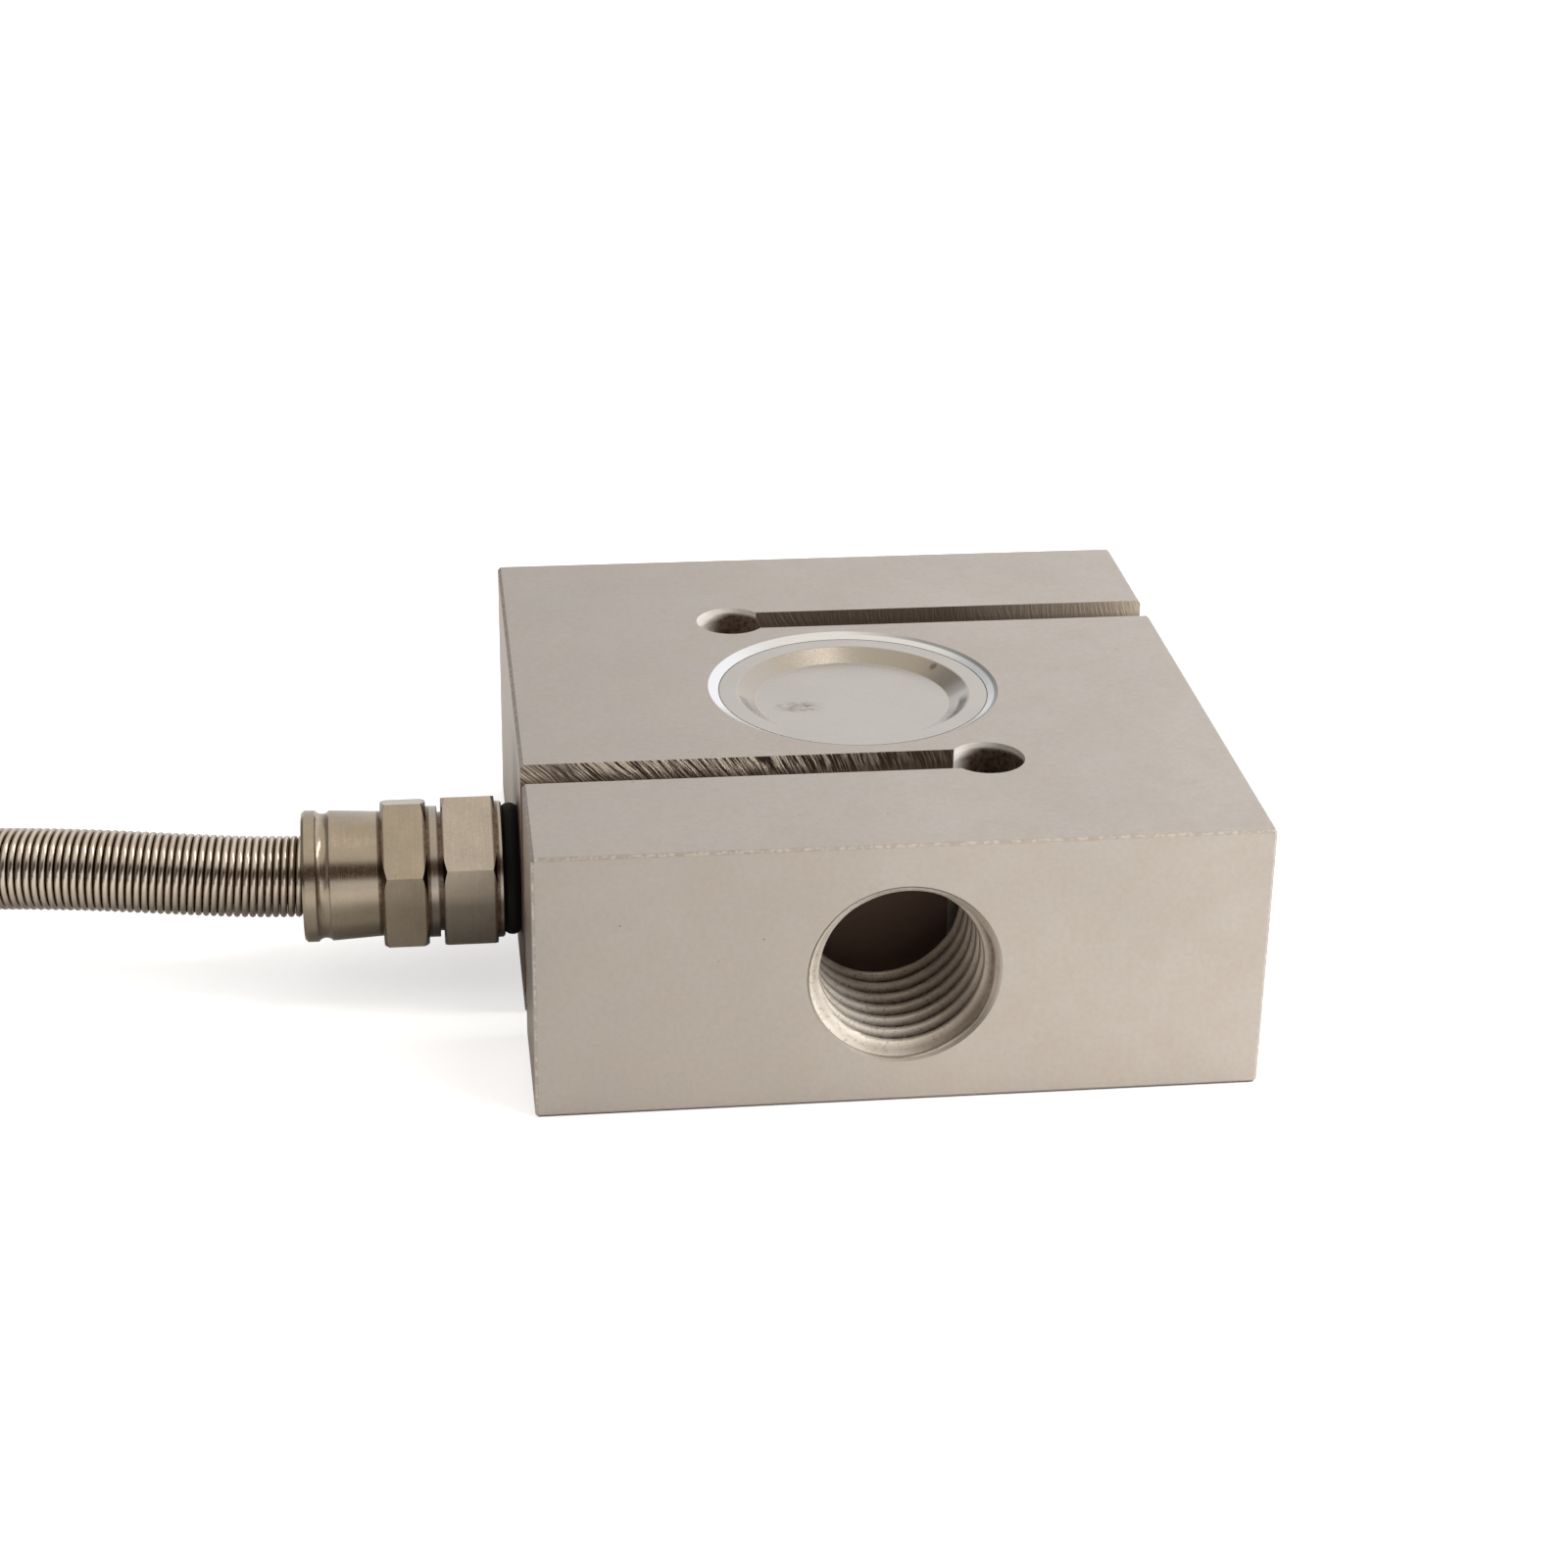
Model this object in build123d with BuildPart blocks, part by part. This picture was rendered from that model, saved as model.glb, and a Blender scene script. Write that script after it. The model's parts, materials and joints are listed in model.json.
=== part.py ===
from build123d import *
from math import atan2, cos, degrees, pi, radians, sin, sqrt, tan
import os

# S-type load cell lying on one side, in millimetres.
# The origin is the centre of the block's underside. +X runs across the block, away from the cable,
# +Y runs along the load axis, away from the front threaded hole, and +Z is up through the thickness.

# S-shaped block
body_width = 61.5
body_length = 66.0
body_thickness = 24.0
edge_break = 0.3

# The two slots that make the S, and the relief holes that end them
slot_width = 3.9
slot_offset = 16.6
relief_diameter = 6.5
relief_offset = 9.35

# M16 load threads through both limbs, modelled at their major diameter
load_thread_diameter = 16.0
load_mouth_chamfer = 0.2

# Gauge pockets and the dished covers in their seats
web_thickness = 3.5
pocket_radius = 11.3
seat_radius = 12.19
seat_cone_width = 0.93
seat_cone_depth = 0.42
cover_recess = 0.43
cover_sheet = 0.5
cover_floor_radius = 8.8
cover_rim_width = 1.62
cover_dish_depth = 1.0
cover_clearance = 0.08
bond_thickness = 0.15

# Cable port in the left face, and the wire passage from it to the lower pocket
port_y = -6.0
port_below_middle = 2.0
port_z = body_thickness / 2 - port_below_middle
port_depth = 9.5
gland_thread_diameter = 8.0
thread_clearance = 0.05
passage_radius = 1.9
passage_drop = 2.8

# Cable gland, outwards from the left face
seal_thickness = 1.4
seal_radius = 5.9
seal_bulge = 0.3
collar_thickness = 0.65
collar_radius = 6.1
collar_edge_break = 0.15
body_across_flats = 13.0
body_corner_chamfer = 0.35
body_hex_length = 4.7
body_hex_turn = 25.5
neck_length = 1.35
neck_radius = 5.85
neck_gap_length = 0.35
neck_gap_radius = 5.3
nut_thread_radius = 5.1
nut_thread_length = 5.4
nut_across_flats = 12.6
nut_corner_chamfer = 0.45
nut_hex_length = 4.0
nut_hex_turn = 21.5
barrel_length = 4.5
barrel_radius = 5.8
barrel_root_radius = 5.55
groove_length = 1.15
groove_depth = 0.28
lip_length = 1.3
lip_radius = 5.85
lip_flare = 0.12
lip_chamfer = 0.25
nut_shoulder_length = 1.0
spigot_length = 7.0
grommet_radius = 4.2
grommet_length = 4.6
grommet_squeeze = 0.3
washer_thickness = 0.6
slip_clearance = 0.05

# Four-core cable and the spring sleeve round its exit
cable_radius = 2.5
cable_clearance = 0.1
cable_past_spigot = 0.5
spring_outer_radius = 3.65
spring_wire = 0.69
spring_last_run_share = 0.55

# Put-away coil
coil_middle_radius = 27.5
coil_turn_pitch = 5.35
coil_layer_rise = 5.15
coil_layers = 3
coil_turns_per_layer = 3.5
coil_rise_turns = 0.3
coil_slack = 0.25
lead_in_length = 20.0
tail_radii = [18.9, 19.4, 21.2, 23.6, 25.0, 25.4]
tail_sink = 0.3
tail_first_step = 36.0
tail_step = 31.0

# Ties round the coil
tie_thickness = 1.1
tie_width = 3.6
tie_head = (5.2, 4.4, 3.6)
tie_head_round = 0.8
tie_stub = 3.0
tie_clearance = 0.15
tail_tie_clearance = 0.6
plain_tie_turn = 57.0

# Route of the free cable: exit inside the nut, then points with X, Y and the share of the drop to the coil
exit_distance = 14.9
lowest_layer_z = cable_radius + coil_slack + tie_clearance + tie_thickness
route_after_exit = [
    (-52.6, port_y, 0.0),
    (-60.8, -5.8, -0.11),
    (-69.4, -5.2, -0.2),
    (-78.2, -3.6, -0.15),
    (-87.0, -1.0, 0.1),
    (-95.8, 2.2, 0.48),
    (-104.4, 5.5, 0.84),
    (-112.8, 8.6, 1.0),
]
last_run = 8.0

# Cable end: shrink sleeve, bare-ended cores and drain wire
sleeve_thickness = 0.4
sleeve_on_cable = 7.0
sleeve_nose = 5.0
sleeve_nose_radius = 2.2
lead_radius = 0.55
lead_ring_radius = 1.3
lead_lane_pitch = 1.9
lead_lane_middle = 28.0
lead_run = 11.0
lead_straight = 5.5
lead_steps = (1.6, 2.5, 3.3)
lead_tip_radius = 0.35
lead_tip_length = 5.0

# Gauges, terminal strips and wires in the pockets
gauge_length = 9.0
gauge_width = 6.0
gauge_film = 0.12
gauge_corner = 0.4
foil_thickness = 0.08
grid_side = 2.6
grid_line = 0.22
grid_lines = 7
grid_offset = 2.2
grid_turn = 45.0
strip_length = 13.0
strip_width = 3.6
strip_thickness = 0.8
strip_offset = 6.5
pad_count = 6
pad_length = 1.4
pad_width = 3.0
pad_thickness = 0.1
pad_corner = 0.3
strip_end_margin = 0.3
board_length = 9.0
board_width = 3.4
resistor_size = (2.0, 1.25, 0.5)
resistor_offset = 2.2
core_radius = 0.33
core_ring_radius = 0.75
core_ring_angles = [202.5, 112.5, 292.5, 22.5]
core_lane_pitch = 0.8
core_fan_start = 1.2
core_fan_length = 3.4
wire_hole_radius = 1.2
wire_hole_at = (8.6, -4.4)
link_radius = 0.3
link_offset = 0.42
link_lanes = [-1.1, 1.0]
link_bend = 1.0
jumper_radius = 0.15
jumper_hump = 0.9
jumper_on_gauge = 0.5
jumper_past_gauge = 0.6
jumper_on_strip = 0.25

# Places that follow from the sizes above
left_face = -body_width / 2
load_bore_length = body_length / 2 - slot_offset - slot_width / 2
web_low = (body_thickness - web_thickness) / 2
web_high = (body_thickness + web_thickness) / 2
ledge_depth = cover_recess + cover_sheet + bond_thickness
cover_radius = seat_radius - cover_clearance
port_radius = gland_thread_diameter / 2
collar_from = seal_thickness
body_hex_from = collar_from + collar_thickness
neck_from = body_hex_from + body_hex_length
nut_from = neck_from + neck_length
barrel_from = nut_from + nut_hex_length
groove_from = barrel_from + barrel_length
lip_from = groove_from + groove_length
nut_end = lip_from + lip_length
thread_end = nut_from + nut_thread_length
grommet_from = thread_end - grommet_length + grommet_squeeze
washer_from = grommet_from + grommet_length
shoulder_from = washer_from + washer_thickness
spring_from = shoulder_from + nut_shoulder_length
cable_start = -spigot_length - cable_past_spigot
passage_start = Vector(left_face + port_depth, port_y, port_z)
passage_end = Vector(-sqrt(pocket_radius**2 - port_y**2), port_y, port_z - passage_drop)


def gland_section():
    """Plane through the gland's axis: local X runs outwards, local Y is the radius."""
    return Plane(origin=(left_face, port_y, port_z), x_dir=(-1, 0, 0), z_dir=(0, 1, 0))


def gland_plane(distance, turn=0.0):
    """Plane across the gland's axis, a distance out from the left face."""
    across = (0, -cos(radians(turn)), sin(radians(turn)))
    return Plane(origin=(left_face - distance, port_y, port_z), x_dir=across, z_dir=(-1, 0, 0))


gland_axis = Axis((left_face, port_y, port_z), (-1, 0, 0))


def corner_radii(points):
    """Radius at each corner of a route: as large as the two runs beside it allow."""
    radii = []
    for before, here, after in zip(points, points[1:], points[2:]):
        first, second = here - before, after - here
        turn = radians(first.get_angle(second))
        radii.append(0.45 * min(first.length, second.length) / tan(turn / 2))
    return radii


def route_line(points, radii=None):
    """Straight runs joined by tangent arcs."""
    points = [Vector(p) for p in points]
    return FilletPolyline(*points, radius=radii or corner_radii(points))


def run_direction(points, index):
    """Unit direction of the run that starts at a point of a route."""
    return (Vector(points[index + 1]) - Vector(points[index])).normalized()


# Block: two slots cut it to an S, with a thin web left between the two gauge pockets
with BuildPart() as s_beam_body:
    with BuildSketch(Plane.XY):
        Rectangle(body_width, body_length)
    extrude(amount=body_thickness)
    chamfer(s_beam_body.edges(), length=edge_break)
    for side in (-1, 1):
        with BuildSketch(Plane.XY):
            with Locations((side * (body_width - 2 * relief_offset) / 4, side * slot_offset)):
                Rectangle(body_width / 2 + relief_offset, slot_width)
        extrude(amount=body_thickness, mode=Mode.SUBTRACT)
        with BuildSketch(Plane.XY):
            with Locations((-side * relief_offset, side * slot_offset)):
                Circle(relief_diameter / 2)
        extrude(amount=body_thickness, mode=Mode.SUBTRACT)
    for side in (-1, 1):
        face_plane = Plane(
            origin=(0, side * body_length / 2, body_thickness / 2), x_dir=(1, 0, 0), z_dir=(0, side, 0)
        )
        with BuildSketch(face_plane):
            Circle(load_thread_diameter / 2)
        extrude(amount=-(load_bore_length + slot_width / 2), mode=Mode.SUBTRACT)
        with BuildSketch(face_plane):
            Circle(load_thread_diameter / 2 + load_mouth_chamfer)
        extrude(amount=-load_mouth_chamfer, taper=45, mode=Mode.SUBTRACT)
    for origin_z, up in ((body_thickness, 1), (0, -1)):
        face_plane = Plane(origin=(0, 0, origin_z), x_dir=(1, 0, 0), z_dir=(0, 0, up))
        with BuildSketch(face_plane):
            Circle(seat_radius)
        extrude(amount=-ledge_depth, mode=Mode.SUBTRACT)
        with BuildSketch(face_plane):
            Circle(seat_radius + seat_cone_width)
        cone_slant = degrees(atan2(seat_cone_width, seat_cone_depth))
        extrude(amount=-seat_cone_depth, taper=cone_slant, mode=Mode.SUBTRACT)
        with BuildSketch(face_plane):
            Circle(pocket_radius)
        extrude(amount=-web_low, mode=Mode.SUBTRACT)
    with BuildSketch(Plane.XY.offset(web_low)):
        with Locations(wire_hole_at):
            Circle(wire_hole_radius)
    extrude(amount=web_thickness, mode=Mode.SUBTRACT)
    with BuildSketch(gland_plane(0)):
        Circle(port_radius + thread_clearance)
    extrude(amount=-port_depth, mode=Mode.SUBTRACT)
    passage_run = passage_end - passage_start
    drill_start = passage_start - passage_run.normalized() * passage_radius
    with BuildSketch(Plane(origin=drill_start, z_dir=passage_run)):
        Circle(passage_radius)
    extrude(amount=passage_run.length + 2 * passage_radius, mode=Mode.SUBTRACT)
s_beam_body.part.label = "s_beam_body"

# Dished covers, each bonded by its rim to the ledge of its seat
covers = []
bonds = []
for name, face_z, up in (("top", body_thickness, 1), ("bottom", 0, -1)):
    rim = face_z - up * cover_recess
    floor = rim - up * cover_dish_depth
    slope_from = cover_radius - cover_rim_width
    with BuildPart() as cover:
        with BuildSketch(Plane.XZ):
            with BuildLine():
                Polyline(
                    (0, floor),
                    (cover_floor_radius, floor),
                    (slope_from, rim),
                    (cover_radius, rim),
                    (cover_radius, rim - up * cover_sheet),
                    (slope_from - cover_sheet / 4, rim - up * cover_sheet),
                    (cover_floor_radius - cover_sheet / 4, floor - up * cover_sheet),
                    (0, floor - up * cover_sheet),
                    close=True,
                )
            make_face()
        revolve(axis=Axis.Z)
        bends = cover.edges().filter_by(GeomType.CIRCLE).filter_by(
            lambda edge: edge.radius < cover_radius - cover_sheet / 8
        )
        fillet(bends, radius=cover_sheet / 2)
    cover.part.label = name + "_cover"
    covers.append(cover.part)
    with BuildPart() as bond:
        with BuildSketch(Plane.XY.offset(rim - up * cover_sheet)):
            Circle(cover_radius)
            Circle(pocket_radius, mode=Mode.SUBTRACT)
        extrude(amount=-up * bond_thickness)
    bond.part.label = name + "_cover_bond"
    bonds.append(bond.part)

# Shear gauges on both faces of the web, two foil grids at 45 degrees on each backing film
gauges = []
for name, face_z, up in (("top", web_high, 1), ("bottom", web_low, -1)):
    with BuildPart() as backing:
        with BuildSketch(Plane.XY.offset(face_z)):
            RectangleRounded(gauge_length, gauge_width, radius=gauge_corner)
        extrude(amount=up * gauge_film)
    backing.part.label = name + "_gauge_backing"
    grid_gap = (grid_side - grid_lines * grid_line) / (grid_lines - 1)
    with BuildPart() as foil:
        with BuildSketch(Plane.XY.offset(face_z + up * gauge_film)):
            for side in (-1, 1):
                with Locations(Location((side * grid_offset, 0, 0), (0, 0, side * grid_turn))):
                    with GridLocations(grid_line + grid_gap, 0, grid_lines, 1):
                        Rectangle(grid_line, grid_side)
                    with GridLocations(0, grid_side - grid_line, 1, 2):
                        Rectangle(grid_side, grid_line)
        extrude(amount=up * foil_thickness)
    foil.part.label = name + "_gauge_foil"
    gauges += [backing.part, foil.part]

# Terminal strips beside the gauges, with a row of solder pads each
pad_pitch = (strip_length - pad_length - 2 * strip_end_margin) / (pad_count - 1)
pad_xs = [pad_pitch * (k - (pad_count - 1) / 2) for k in range(pad_count)]
strips = []
for name, face_z, up in (("upper", web_high, 1), ("lower", web_low, -1)):
    with BuildPart() as strip:
        with BuildSketch(Plane.XY.offset(face_z)):
            with Locations((0, -strip_offset)):
                Rectangle(strip_length, strip_width)
        extrude(amount=up * strip_thickness)
    strip.part.label = name + "_terminal_strip"
    with BuildPart() as pads:
        with BuildSketch(Plane.XY.offset(face_z + up * strip_thickness)):
            with Locations(*[(x, -strip_offset) for x in pad_xs]):
                RectangleRounded(pad_length, pad_width, radius=pad_corner)
        extrude(amount=up * pad_thickness)
    pads.part.label = name + "_strip_pads"
    strips += [strip.part, pads.part]

# Compensation board with two chip resistors, on the other side of the lower gauge
with BuildPart() as compensation_board:
    with BuildSketch(Plane.XY.offset(web_low)):
        with Locations((0, strip_offset)):
            Rectangle(board_length, board_width)
    extrude(amount=-strip_thickness)
compensation_board.part.label = "compensation_board"

with BuildPart() as compensation_resistors:
    with BuildSketch(Plane.XY.offset(web_low - strip_thickness)):
        with Locations((-resistor_offset, strip_offset), (resistor_offset, strip_offset)):
            Rectangle(resistor_size[0], resistor_size[1])
    extrude(amount=-resistor_size[2])
compensation_resistors.part.label = "compensation_resistors"

# Cable cores: out of the jacket, down the slanted passage and along the lower strip to their pads
pad_face_low = web_low - strip_thickness - pad_thickness
pad_face_high = web_high + strip_thickness + pad_thickness
core_names = ["red", "green", "white", "black"]
cores = []
for k in range(len(core_names)):
    core_y = port_y + core_ring_radius * cos(radians(core_ring_angles[k]))
    core_z = core_ring_radius * sin(radians(core_ring_angles[k]))
    lane_y = -strip_offset + core_lane_pitch * (k - len(core_names) / 2)
    landing_z = pad_face_low - core_radius - slip_clearance
    fan_start = passage_end.X + core_fan_start
    core_points = [
        Vector(left_face - cable_start, core_y, port_z + core_z),
        Vector(passage_start.X, core_y, port_z + core_z),
        Vector(fan_start, core_y, passage_end.Z + core_z),
        Vector(fan_start + core_fan_length, lane_y, landing_z),
        Vector(pad_xs[k + 1], lane_y, landing_z),
    ]
    with BuildPart() as core:
        with BuildLine() as core_path:
            route_line(core_points)
        with BuildSketch(Plane(origin=core_points[0], z_dir=run_direction(core_points, 0))):
            Circle(core_radius)
        sweep(path=core_path.line)
    core.part.label = "core_" + core_names[k]
    cores.append(core.part)

# Link wires from the lower strip, through the hole in the web, to the upper strip
link_low = pad_face_low - link_radius - slip_clearance
link_high = pad_face_high + link_radius + slip_clearance
with BuildPart() as strip_link_wires:
    for k, side, lane in zip(range(pad_count - 2, pad_count), (-1, 1), link_lanes):
        link_y = -strip_offset + lane
        hole_x = wire_hole_at[0]
        hole_y = wire_hole_at[1] + side * link_offset
        link_points = [
            Vector(pad_xs[k], link_y, link_low),
            Vector(hole_x, hole_y, link_low),
            Vector(hole_x, hole_y, link_high),
            Vector(pad_xs[k], link_y, link_high),
        ]
        with BuildLine() as link_path:
            route_line(link_points, [link_bend, link_bend])
        with BuildSketch(Plane(origin=link_points[0], z_dir=run_direction(link_points, 0))):
            Circle(link_radius)
        sweep(path=link_path.line)
strip_link_wires.part.label = "strip_link_wires"

# Jumpers from each gauge's edge to its strip
jumper_sets = []
for name, face_z, up in (("top", web_high, 1), ("bottom", web_low, -1)):
    with BuildPart() as jumpers:
        for k in range(1, pad_count - 1):
            jumper_x = pad_xs[k]
            gauge_z = face_z + up * (gauge_film + jumper_radius)
            jumper_points = [
                Vector(jumper_x, jumper_on_gauge - gauge_width / 2, gauge_z),
                Vector(jumper_x, -jumper_past_gauge - gauge_width / 2, gauge_z + up * jumper_hump),
                Vector(jumper_x, strip_width / 2 - jumper_on_strip - strip_offset,
                       face_z + up * (strip_thickness + jumper_radius)),
            ]
            with BuildLine() as jumper_path:
                route_line(jumper_points)
            with BuildSketch(Plane(origin=jumper_points[0], z_dir=run_direction(jumper_points, 0))):
                Circle(jumper_radius)
            sweep(path=jumper_path.line)
    jumpers.part.label = name + "_gauge_jumpers"
    jumper_sets.append(jumpers.part)

# Rubber face seal, bulged where the collar squeezes it
with BuildPart() as face_seal:
    with BuildSketch(gland_section()):
        with BuildLine():
            Polyline(
                (0, seal_radius - seal_bulge),
                (0, port_radius + slip_clearance),
                (seal_thickness, port_radius + slip_clearance),
                (seal_thickness, seal_radius - seal_bulge),
            )
            ThreePointArc(
                (seal_thickness, seal_radius - seal_bulge),
                (seal_thickness / 2, seal_radius),
                (0, seal_radius - seal_bulge),
            )
        make_face()
    revolve(axis=gland_axis)
face_seal.part.label = "face_seal"


def hexagon_with_turned_corners(start, length, turn, across_flats, chamfer_length):
    """Hexagonal bar whose corners are turned off to a cone at both ends."""
    corner = across_flats / sqrt(3)
    with BuildPart() as bar:
        with BuildSketch(gland_plane(start, turn)):
            RegularPolygon(across_flats / 2, 6, major_radius=False, rotation=0)
        extrude(amount=length)
        with BuildSketch(gland_section()):
            with BuildLine():
                Polyline(
                    (start, 0),
                    (start, corner - 2 * chamfer_length),
                    (start + chamfer_length, corner),
                    (start + length - chamfer_length, corner),
                    (start + length, corner - 2 * chamfer_length),
                    (start + length, 0),
                    close=True,
                )
            make_face()
        revolve(axis=gland_axis, mode=Mode.INTERSECT)
    return bar.part


body_hex = hexagon_with_turned_corners(
    body_hex_from, body_hex_length, body_hex_turn, body_across_flats, body_corner_chamfer
)
nut_hex = hexagon_with_turned_corners(
    nut_from, nut_hex_length, nut_hex_turn, nut_across_flats, nut_corner_chamfer
)

# Gland body: spigot into the port, collar, hexagon, neck and the nut's thread, bored for the cable
with BuildPart() as gland_body:
    with BuildSketch(gland_section()):
        with BuildLine():
            Polyline(
                (-spigot_length, 0),
                (-spigot_length, port_radius),
                (collar_from, port_radius),
                (collar_from, collar_radius - collar_edge_break),
                (collar_from + collar_edge_break, collar_radius),
                (body_hex_from, collar_radius),
                (body_hex_from, neck_gap_radius),
                (neck_from + neck_gap_length, neck_gap_radius),
                (neck_from + neck_gap_length, neck_radius),
                (nut_from, neck_radius),
                (nut_from, nut_thread_radius),
                (thread_end, nut_thread_radius),
                (thread_end, 0),
                close=True,
            )
        make_face()
    revolve(axis=gland_axis)
    add(body_hex)
    with BuildSketch(gland_plane(-spigot_length)):
        Circle(cable_radius + cable_clearance)
    extrude(amount=spigot_length + thread_end, mode=Mode.SUBTRACT)
    with BuildSketch(gland_plane(grommet_from)):
        Circle(grommet_radius + slip_clearance)
    extrude(amount=thread_end - grommet_from, mode=Mode.SUBTRACT)
gland_body.part.label = "gland_body"

# Compression grommet and thrust washer
with BuildPart() as grommet:
    with BuildSketch(gland_plane(grommet_from)):
        Circle(grommet_radius)
        Circle(cable_radius + slip_clearance, mode=Mode.SUBTRACT)
    extrude(amount=grommet_length)
grommet.part.label = "grommet"

with BuildPart() as thrust_washer:
    with BuildSketch(gland_plane(washer_from)):
        Circle(grommet_radius + slip_clearance)
        Circle(cable_radius + cable_clearance, mode=Mode.SUBTRACT)
    extrude(amount=washer_thickness)
thrust_washer.part.label = "thrust_washer"

# Gland nut: hexagon, barrel, rolled groove and flared lip
with BuildPart() as gland_nut:
    with BuildSketch(gland_section()):
        with BuildLine():
            Polyline(
                (lip_from, lip_radius - lip_flare),
                (lip_from + lip_flare, lip_radius),
                (nut_end - lip_chamfer, lip_radius),
                (nut_end, lip_radius - lip_chamfer),
                (nut_end, 0),
                (nut_from, 0),
                (nut_from, barrel_root_radius),
                (barrel_from, barrel_root_radius),
                (groove_from, barrel_radius),
            )
            ThreePointArc(
                (groove_from, barrel_radius),
                (groove_from + groove_length / 2, barrel_radius - groove_depth),
                (lip_from, lip_radius - lip_flare),
            )
        make_face()
    revolve(axis=gland_axis)
    add(nut_hex)
    with BuildSketch(gland_plane(nut_from)):
        Circle(nut_thread_radius + thread_clearance)
    extrude(amount=shoulder_from - nut_from, mode=Mode.SUBTRACT)
    with BuildSketch(gland_plane(shoulder_from)):
        Circle(cable_radius + cable_clearance)
    extrude(amount=nut_end - shoulder_from, mode=Mode.SUBTRACT)
    with BuildSketch(gland_plane(spring_from)):
        Circle(spring_outer_radius + slip_clearance)
    extrude(amount=nut_end - spring_from, mode=Mode.SUBTRACT)
gland_nut.part.label = "gland_nut"

# Route of the free cable and the places of the coil, which its last run meets
exit_point = Vector(left_face - exit_distance, port_y, port_z)
cable_route = [exit_point]
for route_x, route_y, drop in route_after_exit:
    cable_route.append(Vector(route_x, route_y, port_z + drop * (lowest_layer_z - port_z)))
last_direction = cable_route[-1] - cable_route[-2]
coil_entry_direction = Vector(last_direction.X, last_direction.Y, 0).normalized()
coil_entry = cable_route[-1] + coil_entry_direction * last_run
cable_route.append(coil_entry)
route_radii = corner_radii(cable_route)

# Clamped stretch of the cable, straight through the gland
with BuildPart() as clamped_cable:
    with BuildSketch(gland_plane(cable_start)):
        Circle(cable_radius)
    extrude(amount=exit_distance - cable_start)
clamped_cable.part.label = "clamped_cable"

with BuildPart() as sensor_cable:
    with BuildLine() as sensor_cable_path:
        route_line(cable_route, route_radii)
    with BuildSketch(Plane(origin=exit_point, z_dir=(-1, 0, 0))):
        Circle(cable_radius)
    sweep(path=sensor_cable_path.line)
sensor_cable.part.label = "sensor_cable"
tube_length = sensor_cable_path.wires()[0].length
print("cable radii", [round(r, 1) for r in route_radii])
print("cable tube", round(tube_length, 2), "mm, volume ratio",
      round(sensor_cable.part.volume / (pi * cable_radius**2 * tube_length), 4))

# Spring sleeve on the same route, from its seat in the nut to part of the way along a run
spring_start = Vector(left_face - spring_from, port_y, port_z)
spring_runs = 5
spring_end = cable_route[spring_runs] + (
    cable_route[spring_runs + 1] - cable_route[spring_runs]
) * spring_last_run_share
spring_route = [spring_start] + cable_route[1:spring_runs + 1] + [spring_end]
with BuildPart() as spring_sleeve:
    with BuildLine() as spring_path:
        route_line(spring_route, route_radii[:spring_runs])
    with BuildSketch(Plane(origin=spring_start, z_dir=(-1, 0, 0))):
        Circle(spring_outer_radius)
        Circle(spring_outer_radius - spring_wire, mode=Mode.SUBTRACT)
    sweep(path=spring_path.line)
spring_sleeve.part.label = "spring_sleeve"

# Coil: its outermost turn starts at the end of a straight lead-in
coil_half_width = coil_turn_pitch * (coil_turns_per_layer - coil_rise_turns) / 2
coil_outer_turn = coil_middle_radius + coil_half_width
coil_inner_turn = coil_middle_radius - coil_half_width
coil_start = coil_entry + coil_entry_direction * lead_in_length
coil_inward = Vector(-coil_entry_direction.Y, coil_entry_direction.X, 0)
coil_centre = coil_start + coil_inward * coil_outer_turn
coil_start_angle = degrees(atan2(-coil_inward.Y, -coil_inward.X))
layer_zs = [coil_entry.Z + coil_layer_rise * k for k in range(coil_layers)]
coil_corner = cable_radius + coil_slack
coil_low = layer_zs[0] - coil_corner
coil_high = layer_zs[-1] + coil_corner
coil_height = coil_high - coil_low
coil_width = 2 * (coil_half_width + coil_corner)


def on_coil(angle, radius, z):
    """Point over the coil, in degrees counter-clockwise and millimetres from its centre."""
    return Vector(
        coil_centre.X + radius * cos(radians(angle)), coil_centre.Y + radius * sin(radians(angle)), z
    )


tail_z = coil_high + cable_radius - tail_sink
tail_end_z = coil_high + cable_radius + sleeve_thickness + 2 * slip_clearance
tail_start_angle = coil_start_angle + 360 * coil_layers * coil_turns_per_layer - tail_first_step
tail_angles = [tail_start_angle, tail_start_angle + tail_first_step]
while len(tail_angles) < len(tail_radii):
    tail_angles.append(tail_angles[-1] + tail_step)
tail_zs = [layer_zs[-1], tail_z, tail_z, tail_z, tail_end_z, tail_end_z]
tail_route = [on_coil(*place) for place in zip(tail_angles, tail_radii, tail_zs)]
tail_end = tail_route[-1]
tail_direction = run_direction(tail_route, -2)

with BuildPart() as cable_coil:
    with BuildSketch(Plane(origin=(coil_centre.X, coil_centre.Y, 0), x_dir=(1, 0, 0), z_dir=(0, -1, 0))):
        with Locations((coil_middle_radius, (coil_low + coil_high) / 2)):
            RectangleRounded(coil_width, coil_height, radius=coil_corner)
    revolve(axis=Axis((coil_centre.X, coil_centre.Y, 0), (0, 0, 1)))
    with BuildSketch(Plane(origin=coil_entry, z_dir=coil_entry_direction)):
        Circle(cable_radius)
    extrude(amount=lead_in_length)
    with BuildLine() as tail_path:
        route_line(tail_route)
    with BuildSketch(Plane(origin=tail_route[0], z_dir=run_direction(tail_route, 0))):
        Circle(cable_radius)
    sweep(path=tail_path.line)
cable_coil.part.label = "cable_coil"

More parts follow.
